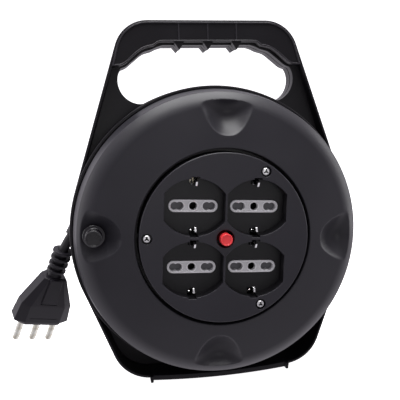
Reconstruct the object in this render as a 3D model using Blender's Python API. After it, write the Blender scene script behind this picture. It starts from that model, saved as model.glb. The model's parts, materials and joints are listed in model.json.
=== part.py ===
"""Extension cord reel: a drum with a four-socket panel that turns in a moulded frame with a carrying handle.

Lengths in this script are millimetres in the drum's own frame: X to the right, Y from the socket panel's
face towards the back, Z up from the drum's axis. to_metres() is the only place that turns them into metres.
"""

import math

import bmesh
import bpy
from mathutils import Matrix, Vector

MM = 0.001

# Places of the drum's axis and of the socket panel's face in the world frame.
AXIS_HEIGHT = 111.2
PANEL_FACE_Y = -33.5
DRUM_ANGLE = math.radians(3.4)

# Frame: a round housing with straight sides that run up to the handle and down to the foot.
HOUSING_RADIUS = 106.7
HOUSING_INNER_RADIUS = 104.2
WALL_RADIUS = 106.3
HOUSING_FRONT_Y = 31.0
SEAM_Y = 57.0
PILLAR_BACK_Y = 67.0
BACK_Y = 72.0
SKIN = 2.2
RIM_WIDTH = 2.0
WEB_Y = 50.0
GAP = 0.3
FRAME_FRONT_Y = 36.0
FRAME_FRONT_LEAN = 0.055
HANDLE_TOP = 154.3
FRAME_BOTTOM = -108.4
UPPER_SIDE_SLOPE = 0.325
LOWER_SIDE_SLOPE = 0.40
TOP_CORNER_RADIUS = 25.0
BOTTOM_CORNER_RADIUS = 30.0

# Handle opening and its grip.
OPENING_END_X = 49.8
OPENING_END_Z = 112.0
OPENING_END_RADIUS = 17.0
OPENING_BOTTOM_RADIUS = 107.0
GRIP_Z = 137.3
GRIP_HALF_LENGTH = 33.0
GRIP_RIB_SPACING = 21.4
GRIP_RIB_HALF_WIDTH = 3.5
GRIP_RIB_DEPTH = 3.7

# Foot: a plate with a bowed front edge between two runners.
FOOT_HALF_LENGTH = 51.5
FOOT_TOP = -105.8
FOOT_BOTTOM = -109.7
FOOT_END_Y = 28.5
FOOT_FRONT_Y = 23.8
RUNNER_X = 52.4
RUNNER_TOP = -106.4
RUNNER_HALF_WIDTH = 1.6
RUNNER_TAPER = 0.6
FOOT_INSET = 0.3

# Drum.
PANEL_RADIUS = 59.3
RING_INNER_RADIUS = 61.8
RING_RADIUS = 103.7
RING_TOP_Y = 2.3
RING_RIM_Y = 28.1
RING_WALL = 2.4
CONE_SLOPE = 0.205
SHOULDER_RADIUS = 93.0
SHOULDER_SIDE = 4.1
HUB_INNER_RADIUS = 60.0
HUB_RADIUS = 62.5
HUB_FRONT_Y = 14.3
HUB_BACK_Y = 65.0
SPOOL_RADIUS = 99.0
SPOOL_FRONT_Y = 26.5
SPOOL_WALL = 2.2
REAR_FLANGE_Y = 65.3
REAR_FLANGE_WALL = 2.0
SCREW_CIRCLE_RADIUS = 54.0
SCREW_ANGLES = (60, 180, 300)

# Thumb scoops in the ring, one at each quarter turn; the left one holds the knob. Each is pointed towards the
# drum's axis, widens outwards and is deepest at its centre.
SCOOP_CENTRE_RADIUS = 85.5
SCOOP_REACH = 15.0
SCOOP_DEPTH = 8.0
SCOOP_TIP_RADIUS = 70.4
SCOOP_WIDE_RADIUS = 95.5
SCOOP_HALF_WIDTH = 19.2
SCOOP_WIDENING = 0.42

# Winding: turns of a 7 mm cord.
CORD_RADIUS = 3.5
WINDING_INNER_RADIUS = 63.0
WINDING_RADIUS = 91.2
WINDING_FRONT_Y = 29.1
WINDING_BACK_Y = 64.6

# Lead inside the hub, from the winding to the terminal block, and the clamp that holds it.
LEAD_ROUTE = (
    (-53.0, 46.0, 30.6),
    (-47.8, 44.8, 28.6),
    (-41.0, 40.2, 26.4),
    (-34.0, 34.9, 24.4),
    (-27.0, 34.2, 24.0),
    (-20.0, 34.2, 24.0),
    (-12.4, 34.2, 24.0),
)
CLAMP_PLACE = (-27.0, 34.2, 24.0)
CLAMP_SCREW_OFFSETS = (-8.0, 8.0)

# Sockets.
SOCKET_X = 21.75
SOCKET_Z = 21.55
RECESS_HALF_WIDTH = 21.0
RECESS_HALF_HEIGHT = 19.6
RECESS_FLAT_HALF = 9.3
RECESS_DEPTH = 9.2
FLOOR_WALL = 2.0
RECESS_WALL = 1.5
STRIP_HALF_LENGTH = 17.4
STRIP_HALF_HEIGHT = 4.4
PIN_HOLE_OFFSET = 11.25
PIN_HOLE_HALF_LENGTH = 4.3
PIN_HOLE_RADIUS = 2.4
EARTH_HOLE_RADIUS = 2.75
NOTCH_HALF_WIDTH = 2.8
NOTCH_INNER = 15.5
NOTCH_OUTER = 20.6
EARTH_LEG_Z = 18.8
SHUTTER_Y = 13.0
RAIL_Y = 22.0
BACK_COVER_Y = 26.5

# Reset button and knob.
BUTTON_RADIUS = 4.2
BUTTON_PROUD = 4.3
BUTTON_HOLE_RADIUS = 6.2
KNOB_ORBIT = 89.0
KNOB_FRONT_Y = 0.9
KNOB_BASE_Y = 12.6

# Free cord and plug: the cord leaves the housing on the left.
CORD_ROUTE = (
    (-85.5, 53.5, 41.7),
    (-92.2, 53.0, 28.0),
    (-98.7, 52.4, 14.4),
    (-104.6, 51.9, 2.4),
    (-109.2, 51.6, -4.8),
    (-112.75, 52.2, -11.0),
    (-115.0, 53.6, -16.4),
)
PLUG_ORIGIN = (-112.75, 52.2, -11.0)
PLUG_AXIS = (-0.367, 0.253, -0.895)
PLUG_ROW = (0.881, 0.405, -0.247)
RELIEF_LENGTH = 22.0
PLUG_LENGTH = 42.0
PLUG_PIN_SPACING = 13.0
PLUG_PIN_RADIUS = 2.5
PLUG_PIN_LENGTH = 19.0


def clear_scene():
    for old in list(bpy.data.objects):
        bpy.data.objects.remove(old, do_unlink=True)


def to_metres(point):
    return Vector(point) * MM


def plastic(name, colour, roughness, metallic=0.0):
    material = bpy.data.materials.new(name)
    material.use_nodes = True
    shader = material.node_tree.nodes["Principled BSDF"]
    shader.inputs["Base Color"].default_value = (*colour, 1.0)
    shader.inputs["Roughness"].default_value = roughness
    shader.inputs["Metallic"].default_value = metallic
    return material


def empty(name, location, matrix=None, parent=None):
    marker = bpy.data.objects.new(name, None)
    bpy.context.scene.collection.objects.link(marker)
    marker.parent = parent
    marker.matrix_basis = Matrix.Translation(to_metres(location)) @ (matrix or Matrix())
    return marker


def add_object(name, bm, parent, material, location=(0, 0, 0), sharp=35):
    """Turn a bmesh in millimetres into a smooth-shaded object under its parent empty."""
    bmesh.ops.recalc_face_normals(bm, faces=bm.faces)
    bmesh.ops.scale(bm, vec=(MM, MM, MM), verts=bm.verts)
    mesh = bpy.data.meshes.new(name)
    bm.to_mesh(mesh)
    bm.free()
    mesh.shade_smooth()
    mesh.set_sharp_from_angle(angle=math.radians(sharp))
    mesh.materials.append(material)
    made = bpy.data.objects.new(name, mesh)
    bpy.context.scene.collection.objects.link(made)
    made.parent = parent
    made.location = to_metres(location)
    return made


def combine(target, tool, operation):
    """Join, cut or trim target with tool by an exact Boolean; the tool becomes a wire guide."""
    modifier = target.modifiers.new(tool.name, "BOOLEAN")
    modifier.operation = operation
    modifier.object = tool
    modifier.solver = "EXACT"
    tool.hide_render = True
    tool.display_type = "WIRE"


def join(target, *tools):
    for tool in tools:
        combine(target, tool, "UNION")


def cut(target, *tools):
    for tool in tools:
        combine(target, tool, "DIFFERENCE")


def turned(name, profile, parent, material, location=(0, 0, 0), segments=32, sharp=35):
    """Turn a closed (radius, y) profile about the Y axis; radius 0 closes the shape on the axis."""
    bm = bmesh.new()
    rings = []
    for radius, y in profile:
        if radius == 0:
            rings.append([bm.verts.new((0, y, 0))])
            continue
        angles = [2 * math.pi * (i + 0.5) / segments for i in range(segments)]
        rings.append([bm.verts.new((radius * math.cos(a), y, radius * math.sin(a))) for a in angles])
    for ring, after in zip(rings, rings[1:] + rings[:1]):
        if len(ring) == 1 and len(after) == 1:
            continue
        for i in range(segments):
            j = (i + 1) % segments
            corners = [ring[i % len(ring)], ring[j % len(ring)], after[j % len(after)], after[i % len(after)]]
            bm.faces.new(list(dict.fromkeys(corners)))
    return add_object(name, bm, parent, material, location, sharp)


def rod(name, radius, y0, y1, parent, material, location=(0, 0, 0), segments=24):
    return turned(name, ((0, y0), (radius, y0), (radius, y1), (0, y1)), parent, material, location, segments)


AXIS_ORDER = {"Y": (0, 2, 1), "Z": (0, 1, 2), "X": (2, 0, 1)}


def prism(name, outer, holes, start, end, parent, material, axis="Y", location=(0, 0, 0), lean=0.0, sharp=35):
    """Extrude a flat outline with holes along an axis; lean slopes the start face.

    The outline's two values are X and Z for axis Y, X and Y for axis Z, and Y and Z for axis X.
    """
    bm = bmesh.new()
    order = AXIS_ORDER[axis]

    def corner(u, v, w):
        values = (u, v, w)
        return tuple(values[i] for i in order)

    edges = []
    for loop in (outer, *holes):
        verts = [bm.verts.new(corner(u, v, start + lean * v)) for u, v in loop]
        edges += [bm.edges.new(pair) for pair in zip(verts, verts[1:] + verts[:1])]
    normal = corner(0, 0, 1)
    bmesh.ops.triangle_fill(bm, use_beauty=True, edges=edges, normal=normal)
    grown = bmesh.ops.extrude_face_region(bm, geom=bm.faces[:])
    along = order.index(2)
    for vert in (item for item in grown["geom"] if isinstance(item, bmesh.types.BMVert)):
        vert.co[along] = end
    return add_object(name, bm, parent, material, location, sharp)


def block(name, low, high, parent, material, location=(0, 0, 0)):
    outline = ((low[0], low[2]), (high[0], low[2]), (high[0], high[2]), (low[0], high[2]))
    return prism(name, outline, (), low[1], high[1], parent, material, location=location)


def arc(cx, cz, radius, start, end, steps):
    """Points on an arc, angles in degrees."""
    angles = [math.radians(start + (end - start) * i / steps) for i in range(steps + 1)]
    return [(cx + radius * math.cos(a), cz + radius * math.sin(a)) for a in angles]


def circle(radius, steps=64, cx=0.0, cz=0.0):
    return arc(cx, cz, radius, 0, 360, steps)[:-1]


def smooth_path(points, steps):
    """Catmull-Rom curve through the points."""
    vectors = [Vector(p) for p in points]
    vectors = [2 * vectors[0] - vectors[1], *vectors, 2 * vectors[-1] - vectors[-2]]
    path = []
    for a, b, c, d in zip(vectors, vectors[1:], vectors[2:], vectors[3:]):
        for i in range(steps):
            t = i / steps
            path.append(0.5 * ((2 * b) + (c - a) * t + (2 * a - 5 * b + 4 * c - d) * t**2
                               + (3 * b - a - 3 * c + d) * t**3))
    path.append(vectors[-2])
    return [tuple(p) for p in path]


def rounded(corners, radii, steps):
    """A closed convex polygon whose corners are arcs."""
    points = []
    count = len(corners)
    for i, radius in enumerate(radii):
        here = Vector(corners[i])
        back = (Vector(corners[i - 1]) - here).normalized()
        ahead = (Vector(corners[(i + 1) % count]) - here).normalized()
        half = back.angle(ahead) / 2
        centre = here + (back + ahead).normalized() * radius / math.sin(half)
        reach = radius / math.tan(half)
        first = here + back * reach - centre
        sweep = first.angle_signed(here + ahead * reach - centre)
        for k in range(steps + 1):
            turn = Matrix.Rotation(-sweep * k / steps, 2)
            points.append(tuple(centre + turn @ first))
    return points


def frame_outline(inset=0.0):
    """The frame seen from the front: straight sides that touch the round housing."""
    top = HANDLE_TOP - inset
    bottom = FRAME_BOTTOM + inset
    round_radius = HOUSING_RADIUS - inset
    upper_reach = round_radius * math.hypot(1, UPPER_SIDE_SLOPE)
    lower_reach = round_radius * math.hypot(1, LOWER_SIDE_SLOPE)
    top_x = upper_reach - UPPER_SIDE_SLOPE * top
    bottom_x = lower_reach + LOWER_SIDE_SLOPE * bottom
    middle_z = (upper_reach - lower_reach) / (UPPER_SIDE_SLOPE + LOWER_SIDE_SLOPE)
    middle_x = upper_reach - UPPER_SIDE_SLOPE * middle_z
    right = [(bottom_x, bottom), (middle_x, middle_z), (top_x, top)]
    left = [(-x, z) for x, z in reversed(right)]
    radii = [BOTTOM_CORNER_RADIUS - inset, round_radius, TOP_CORNER_RADIUS - inset]
    return rounded(right + left, radii + radii[::-1], 6)


def handle_curve(grow=0.0):
    """Left half of the grip's underside, from the end of the opening to where the grip is level."""
    knots = ((-64.3, 120.7), (-60.0, 122.5), (-54.0, 127.3), (-47.5, 132.2), (-41.0, 134.3), (-37.0, 136.1))
    knots = [(x - grow * 0.5, z + grow * 0.9) for x, z in knots]
    return smooth_path([*knots, (-GRIP_HALF_LENGTH, GRIP_Z + grow)], 2)


def grip_ribs():
    """The three triangular finger ribs under the grip, left to right."""
    points = []
    for centre in (-GRIP_RIB_SPACING, 0.0, GRIP_RIB_SPACING):
        points.append((centre - GRIP_RIB_HALF_WIDTH, GRIP_Z))
        points.append((centre, GRIP_Z - GRIP_RIB_DEPTH))
        points.append((centre + GRIP_RIB_HALF_WIDTH, GRIP_Z))
    return points


def opening_outline(grow=0.0, ribs=True):
    """The hand opening between the handle and the round housing."""
    radius = OPENING_BOTTOM_RADIUS - grow
    end_radius = OPENING_END_RADIUS + grow
    corner = math.degrees(math.atan2(OPENING_END_Z - end_radius, OPENING_END_X))
    left = arc(0, 0, radius, 90, 180 - corner - 0.5, 6)
    left += arc(-OPENING_END_X, OPENING_END_Z, end_radius, 265, 158, 8)
    left += handle_curve(grow)
    right = [(-x, z) for x, z in reversed(left[1:])]
    return left + (grip_ribs() if ribs else []) + right


def build_front_frame(root, black):
    """Front moulding: round wall, rim, web, opening lip, screw posts and the front of the foot."""
    wall = ((HOUSING_INNER_RADIUS, HOUSING_FRONT_Y), (WALL_RADIUS, HOUSING_FRONT_Y),
            (WALL_RADIUS, SEAM_Y), (HOUSING_INNER_RADIUS, SEAM_Y))
    frame = turned("front_frame", wall, root, black, segments=48)
    hole = circle((WALL_RADIUS + HOUSING_INNER_RADIUS) / 2, 48)
    body = prism("front_body_guide", frame_outline(), (hole, opening_outline()), FRAME_FRONT_Y, SEAM_Y,
                 root, black, lean=FRAME_FRONT_LEAN)
    front_pocket = prism("front_pocket_guide", frame_outline(RIM_WIDTH), (), HOUSING_FRONT_Y - 11.0, WEB_Y,
                         root, black)
    back_pocket = prism("back_pocket_guide", frame_outline(RIM_WIDTH), (opening_outline(RIM_WIDTH, False),),
                        WEB_Y + SKIN, SEAM_Y + 4.0, root, black)
    for number, pocket in enumerate((front_pocket, back_pocket), 1):
        round_guide = rod(f"round_guide_{number}", HOUSING_RADIUS + 0.6, 10.0, BACK_Y, root, black, segments=48)
        cut(pocket, round_guide)
        cut(body, pocket)
    join(frame, body)
    for number, (x, z) in enumerate(frame_screw_places(), 1):
        post = rod(f"post_guide_{number}", 3.5, WEB_Y + 1.0, PILLAR_BACK_Y - SKIN - GAP, root, black,
                   (x, 0, z), 16)
        join(frame, post)
    join(frame, *foot_solids("front_foot", front_foot_outline(), FOOT_END_Y - 1.0, SEAM_Y - 0.6, root, black))
    for number, (x, z) in enumerate(frame_screw_places(), 1):
        cut(frame, rod(f"post_bore_{number}", 1.6, 53.5, BACK_Y, root, black, (x, 0, z), 16))
    cut(frame, outlet_cutter(root, black))
    return frame


def build_rear_housing(root, black):
    """Rear moulding: cup behind the drum with its spigot, the back of the handle and of the foot."""
    cup = (
        (HOUSING_INNER_RADIUS, SEAM_Y + GAP), (WALL_RADIUS, SEAM_Y + GAP), (WALL_RADIUS, BACK_Y - 1.5),
        (WALL_RADIUS - 1.5, BACK_Y), (0, BACK_Y), (0, 62.0), (2.0, 62.0), (2.0, 47.0), (7.2, 47.0),
        (7.5, 47.5), (7.5, 67.7), (14.0, 67.7), (14.0, BACK_Y - SKIN), (HOUSING_INNER_RADIUS, BACK_Y - SKIN),
    )
    housing = turned("rear_housing", cup, root, black, segments=48)
    hole = circle((WALL_RADIUS + HOUSING_INNER_RADIUS) / 2, 48)
    screw_holes = [circle(1.8, 12, x, z) for x, z in frame_screw_places()]
    body = prism("rear_body_guide", frame_outline(), (hole, opening_outline(), *screw_holes), SEAM_Y + GAP,
                 PILLAR_BACK_Y, root, black)
    pocket = prism("rear_pocket_guide", frame_outline(RIM_WIDTH), (opening_outline(RIM_WIDTH, False),),
                   SEAM_Y - 4.0, PILLAR_BACK_Y - SKIN, root, black)
    cut(pocket, rod("rear_round_guide", HOUSING_RADIUS + 0.6, SEAM_Y - 8.0, BACK_Y, root, black, segments=48))
    cut(body, pocket)
    join(housing, body)
    join(housing, *foot_solids("rear_foot", rear_foot_outline(), SEAM_Y + 0.9, BACK_Y - 0.6, root, black))
    return housing


def frame_screw_places():
    """Two screws in the handle, two in the upper pillars and two in the lower corners."""
    places = ((59.0, 140.0), (81.3, 75.0), (72.5, -87.0))
    return [(side * x, z) for x, z in places for side in (-1, 1)]


def front_foot_outline():
    """Foot plate in plan, its front edge bowed forward."""
    rise = FOOT_END_Y - FOOT_FRONT_Y
    radius = (FOOT_HALF_LENGTH**2 + rise**2) / (2 * rise)
    half = math.degrees(math.asin(FOOT_HALF_LENGTH / radius))
    front = arc(0, FOOT_FRONT_Y + radius, radius, 270 - half, 270 + half, 10)
    back = SEAM_Y - FOOT_INSET
    return [*front, (FOOT_HALF_LENGTH, back), (-FOOT_HALF_LENGTH, back)]


def rear_foot_outline():
    half = FOOT_HALF_LENGTH
    front = SEAM_Y + GAP + FOOT_INSET
    back = BACK_Y - FOOT_INSET
    return [(-half, front), (half, front), (half, back), (-half, back)]


def foot_solids(name, outline, runner_start, runner_end, root, black):
    """A foot plate and the two runners that the reel stands on."""
    plate = prism(f"{name}_plate", outline, (), FOOT_BOTTOM, FOOT_TOP, root, black, axis="Z")
    solids = [plate]
    for side in (-1, 1):
        x = side * RUNNER_X
        tread = RUNNER_HALF_WIDTH * RUNNER_TAPER
        section = ((x - RUNNER_HALF_WIDTH, RUNNER_TOP), (x + RUNNER_HALF_WIDTH, RUNNER_TOP),
                   (x + tread, -AXIS_HEIGHT), (x - tread, -AXIS_HEIGHT))
        solids.append(prism(f"{name}_runner_{side + 2}", section, (), runner_start, runner_end, root, black))
    return solids


def build_handle_cover(root, black):
    """Front cover of the handle, set inside the frame's rim, with three rib lines on its face."""
    inset = RIM_WIDTH + GAP
    knots = ((-62.0, 122.4), (-55.5, 127.0), (-49.0, 131.9), (-42.5, 134.9), (-38.5, 136.7), (-34.5, 139.4))
    lower = [(-67.0, 121.4), *smooth_path(knots, 2)]
    lower += [(-x, z) for x, z in reversed(lower)]
    rim = [p for p in frame_outline(inset) if p[1] > 124.0]
    start_side = [(70.6 - inset, 122.6)]
    outline = [*reversed([(-x, z) for x, z in start_side]), *lower, *start_side, *rim]
    front = FRAME_FRONT_Y + FRAME_FRONT_LEAN * GRIP_Z
    cover = prism("handle_cover", outline, (), front, WEB_Y - GAP, root, black)
    for number, x in enumerate((-GRIP_RIB_SPACING, 0.0, GRIP_RIB_SPACING), 1):
        rib = block(f"rib_guide_{number}", (x - 0.4, front - 0.6, 139.9), (x + 0.4, front + 1.0, 150.5),
                    root, black)
        join(cover, rib)
    hollow = [(-60.0, 141.0), (60.0, 141.0), (56.0, 148.5), (-56.0, 148.5)]
    cut(cover, prism("cover_pocket", hollow, (), front + 2.2, WEB_Y + 1.0, root, black))
    return cover


def build_frame_screws(root, steel):
    for number, (x, z) in enumerate(frame_screw_places(), 1):
        profile = ((0, 55.0), (1.3, 55.0), (1.3, PILLAR_BACK_Y + GAP), (3.0, PILLAR_BACK_Y + GAP),
                   (2.6, PILLAR_BACK_Y + 2.0), (1.0, PILLAR_BACK_Y + 2.2), (0.9, PILLAR_BACK_Y + 1.2),
                   (0, PILLAR_BACK_Y + 1.2))
        turned(f"frame_screw_{number}", profile, root, steel, (x, 0, z), 12)


def build_spigot_fixings(root, steel):
    """Washer and screw that keep the drum on the rear housing's spigot."""
    turned("spigot_washer", ((2.1, 45.5), (12.0, 45.5), (12.0, 46.7), (2.1, 46.7)), root, steel, segments=24)
    profile = ((0, 60.0), (1.7, 60.0), (1.7, 45.2), (4.0, 45.2), (3.6, 42.6), (1.2, 42.2), (1.1, 43.4),
               (0, 43.4))
    turned("spigot_screw", profile, root, steel, segments=24)


def cone_depth(radius):
    """Depth of the shallow cone that the ring's face lies on."""
    return RING_TOP_Y + CONE_SLOPE * (radius - RING_INNER_RADIUS)


def ring_depth(radius):
    """Depth of the ring's outer surface: the cone, then a round shoulder down to the rim."""
    if radius <= SHOULDER_RADIUS:
        return cone_depth(radius)
    reach = (radius - SHOULDER_RADIUS) / (RING_RADIUS - SHOULDER_RADIUS)
    start = cone_depth(SHOULDER_RADIUS)
    drop = RING_RIM_Y - SHOULDER_SIDE - start
    slope = CONE_SLOPE * (radius - SHOULDER_RADIUS) * (1 - reach)
    return start + slope + drop * (1 - math.sqrt(max(0, 1 - reach**2)))


def scoop_depth(radius, angle):
    """Depth of the nearest thumb scoop's bowl below the cone at this place, or 0 outside the scoops."""
    quarter = round(angle / (math.pi / 2)) * math.pi / 2
    side = radius * math.sin(angle - quarter)
    if not SCOOP_TIP_RADIUS < radius < SCOOP_CENTRE_RADIUS + SCOOP_REACH:
        return 0.0
    widening = min(1.0, (radius - SCOOP_TIP_RADIUS) / (SCOOP_WIDE_RADIUS - SCOOP_TIP_RADIUS))
    half_width = SCOOP_HALF_WIDTH * widening**SCOOP_WIDENING
    along = 1 - ((radius - SCOOP_CENTRE_RADIUS) / SCOOP_REACH) ** 2
    return max(0.0, SCOOP_DEPTH * along * (1 - (side / half_width) ** 2))


def ring_angles():
    """Angles round the ring, close together at the scoops."""
    offsets = (-37.5, -30, -22.5, -15, -12, -9, -6, -3, 0, 3, 6, 9, 12, 15, 22.5, 30, 37.5, 45)
    return [math.radians(quarter * 90 + offset) for quarter in range(4) for offset in offsets]


def ring_point(radius, y, angle, wall):
    """A point of the ring; the scoops push it back, by the wall thickness more on the inner side."""
    bowl = scoop_depth(radius, angle)
    depth = max(y, cone_depth(radius) + bowl + wall) if bowl > 0 else y
    return (radius * math.cos(angle), depth, radius * math.sin(angle))


def build_front_ring(drum, charcoal):
    """Round front ring as a shell with four thumb scoops; a hole in the left scoop takes the knob's pin."""
    radii = [63.2, 70.4, 72, 75, 79, 84, 89, SHOULDER_RADIUS, 96, 98.5, 100.8, 102.6,
             RING_RADIUS]
    outer = [(RING_INNER_RADIUS, 14.0), (RING_INNER_RADIUS, RING_TOP_Y + 1.1)]
    outer += [(r, ring_depth(r)) for r in radii]
    outer.append((RING_RADIUS, RING_RIM_Y))
    inner_radii = [100, 96.4, 93, 87, 81, 78, 74, 70]
    inner = [(RING_RADIUS - RING_WALL, RING_RIM_Y), (RING_RADIUS - RING_WALL, 21.6)]
    inner += [(r, ring_depth(r + 1.2) + RING_WALL + 0.2) for r in inner_radii]
    inner += [(64.4, 5.4), (64.4, 14.0)]
    angles = ring_angles()
    bm = bmesh.new()
    rings = []
    for profile, wall in ((outer, 0.0), (inner, RING_WALL)):
        for radius, y in profile:
            rings.append([bm.verts.new(ring_point(radius, y, angle, wall)) for angle in angles])
    for ring, after in zip(rings, rings[1:] + rings[:1]):
        for i in range(len(angles)):
            j = (i + 1) % len(angles)
            bm.faces.new((ring[i], ring[j], after[j], after[i]))
    made = add_object("front_ring", bm, drum, charcoal)
    cut(made, rod("knob_pin_hole", 2.4, 5.0, 26.0, drum, charcoal, (-KNOB_ORBIT, 0, 0), 24))
    return made


def screw_place(angle):
    turn = math.radians(angle)
    return (SCREW_CIRCLE_RADIUS * math.cos(turn), 0, SCREW_CIRCLE_RADIUS * math.sin(turn))


def build_drum_core(drum, black):
    """Spool: hub tube with the front flange, and three screw columns inside the hub."""
    profile = (
        (HUB_INNER_RADIUS, HUB_FRONT_Y), (HUB_RADIUS, HUB_FRONT_Y), (HUB_RADIUS, SPOOL_FRONT_Y),
        (SPOOL_RADIUS, SPOOL_FRONT_Y), (SPOOL_RADIUS, SPOOL_FRONT_Y + SPOOL_WALL),
        (HUB_RADIUS, SPOOL_FRONT_Y + SPOOL_WALL), (HUB_RADIUS, HUB_BACK_Y), (HUB_INNER_RADIUS, HUB_BACK_Y),
    )
    core = turned("drum_core", profile, drum, black, segments=48)
    for number, angle in enumerate(SCREW_ANGLES, 1):
        column = rod(f"column_guide_{number}", 4.2, 12.4, HUB_BACK_Y, drum, black, screw_place(angle), 16)
        turn = math.radians(angle)
        rib = prism(f"column_rib_{number}", rotated_box(turn, 55.0, 61.2, 1.6), (), HUB_FRONT_Y + 1.0,
                    HUB_BACK_Y - 1.0, drum, black)
        join(core, rib, column)
    for number, angle in enumerate(SCREW_ANGLES, 1):
        place = screw_place(angle)
        cut(core, rod(f"front_bore_{number}", 1.7, 8.0, 26.0, drum, black, place, 12))
        cut(core, rod(f"rear_bore_{number}", 1.7, 52.0, 70.0, drum, black, place, 12))
    lead_hole = rod("lead_hole", CORD_RADIUS + 0.9, -8.0, 8.0, drum, black, segments=20)
    outwards = (LEAD_ROUTE[0][0], 0, LEAD_ROUTE[0][2])
    lead_hole.matrix_basis = Matrix.Translation(to_metres(LEAD_ROUTE[0])) @ turn_y_to(outwards)
    cut(core, lead_hole)
    return core


def rotated_box(turn, near, far, half):
    """A box that runs outwards from the axis in the direction of an angle."""
    along = Vector((math.cos(turn), math.sin(turn)))
    across = Vector((-along.y, along.x))
    return [tuple(along * near - across * half), tuple(along * far - across * half),
            tuple(along * far + across * half), tuple(along * near + across * half)]


def turn_y_to(direction):
    """Rotation that points the local Y axis in a direction."""
    return Vector(direction).to_track_quat("Y", "Z").to_matrix().to_4x4()


def build_rear_flange(drum, black, steel, nylon):
    """Rear flange with its bearing boss, the bush in it and the three screws into the hub."""
    back = REAR_FLANGE_Y + REAR_FLANGE_WALL
    profile = ((9.4, 47.6), (13.0, 47.6), (13.0, REAR_FLANGE_Y - 2.0), (15.0, REAR_FLANGE_Y),
               (SPOOL_RADIUS + 1.0, REAR_FLANGE_Y), (SPOOL_RADIUS + 1.0, back), (9.4, back))
    flange = turned("rear_flange", profile, drum, black, segments=48)
    turned("hub_bush", ((7.8, 47.3), (9.1, 47.3), (9.1, 65.6), (7.8, 65.6)), drum, nylon, segments=32)
    for number, angle in enumerate(SCREW_ANGLES, 1):
        place = screw_place(angle)
        cut(flange, rod(f"flange_hole_{number}", 1.8, 60.0, 70.0, drum, black, place, 12))
        screw = ((0, 55.0), (1.3, 55.0), (1.3, back + GAP), (2.6, back + GAP), (2.2, back + 1.6),
                 (0, back + 1.6))
        turned(f"flange_screw_{number}", screw, drum, steel, place, 12)


def build_winding(drum, cord):
    """The wound cord as one closed ring of its outer shape."""
    profile = ((WINDING_INNER_RADIUS, WINDING_FRONT_Y), (WINDING_RADIUS, WINDING_FRONT_Y),
               (WINDING_RADIUS, WINDING_BACK_Y), (WINDING_INNER_RADIUS, WINDING_BACK_Y))
    turned("cord_winding", profile, drum, cord, segments=48)


def recess_outline(grow=0.0):
    """A socket recess: round above and below, flat at the sides."""
    half_width = RECESS_HALF_WIDTH + grow
    half_height = RECESS_HALF_HEIGHT + grow
    sagitta = half_height - RECESS_FLAT_HALF
    radius = (half_width**2 + sagitta**2) / (2 * sagitta)
    half = math.degrees(math.asin(half_width / radius))
    top = arc(0, half_height - radius, radius, 90 - half, 90 + half, 8)
    bottom = arc(0, radius - half_height, radius, 270 - half, 270 + half, 8)
    return top + bottom


def stadium(half_length, half_height, steps=4, cx=0.0, cz=0.0):
    """A slot outline with round ends."""
    straight = half_length - half_height
    right = arc(cx + straight, cz, half_height, -90, 90, steps)
    left = arc(cx - straight, cz, half_height, 90, 270, steps)
    return right + left


def pin_hole_outline(side):
    """Two joined pin holes, for the 19 mm and the 26 mm pin spacing."""
    return stadium(PIN_HOLE_HALF_LENGTH, PIN_HOLE_RADIUS, 4, side * PIN_HOLE_OFFSET)


def socket_places():
    return [(x, 0, z) for z in (SOCKET_Z, -SOCKET_Z) for x in (-SOCKET_X, SOCKET_X)]


def build_socket_panel(drum, black):
    """Panel with four recesses, each with a strip slot, a shutter space and two earth notches."""
    profile = ((0, 0), (PANEL_RADIUS - 0.8, 0), (PANEL_RADIUS, 0.8), (PANEL_RADIUS, 12.0),
               (PANEL_RADIUS - 2.0, 12.0), (PANEL_RADIUS - 2.0, 2.6), (0, 2.6))
    panel = turned("socket_panel", profile, drum, black, segments=48)
    for number, place in enumerate(socket_places(), 1):
        shell = prism(f"well_guide_{number}", recess_outline(RECESS_WALL), (), 1.2, RECESS_DEPTH + FLOOR_WALL,
                      drum, black, location=place)
        join(panel, shell)
    for number, angle in enumerate(SCREW_ANGLES, 1):
        join(panel, rod(f"screw_seat_{number}", 4.9, 1.4, 12.1, drum, black, screw_place(angle), 16))
    for number, place in enumerate(socket_places(), 1):
        well = prism(f"well_cut_{number}", recess_outline(), (), -4.0, RECESS_DEPTH, drum, black,
                     location=place)
        slot = prism(f"slot_cut_{number}", stadium(STRIP_HALF_LENGTH + GAP, STRIP_HALF_HEIGHT + GAP), (),
                     RECESS_DEPTH - 2.0, RECESS_DEPTH + 6.0, drum, black, location=place)
        cut(panel, well, slot)
        for side in (-1, 1):
            low = min(side * NOTCH_INNER, side * NOTCH_OUTER)
            high = max(side * NOTCH_INNER, side * NOTCH_OUTER)
            notch = block(f"notch_cut_{number}_{side + 2}", (-NOTCH_HALF_WIDTH, -3.0, low),
                          (NOTCH_HALF_WIDTH, RECESS_DEPTH + 6.0, high), drum, black, place)
            cut(panel, notch)
    for number, angle in enumerate(SCREW_ANGLES, 1):
        place = screw_place(angle)
        cut(panel, rod(f"seat_cut_{number}", 3.8, -2.0, 2.6, drum, black, place, 16))
        cut(panel, rod(f"hole_cut_{number}", 1.8, -2.0, 15.0, drum, black, place, 12))
    cut(panel, rod("button_hole", BUTTON_HOLE_RADIUS, -2.0, 8.0, drum, black, segments=32))
    return panel


def build_panel_screws(drum, steel):
    for number, angle in enumerate(SCREW_ANGLES, 1):
        profile = ((0, 0.8), (0.9, 0.8), (1.0, 0.3), (2.1, 0.5), (2.5, 1.2), (2.5, 2.3), (1.3, 2.3),
                   (1.3, 22.0), (0, 22.0))
        turned(f"panel_screw_{number}", profile, drum, steel, screw_place(angle), 12)


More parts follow.
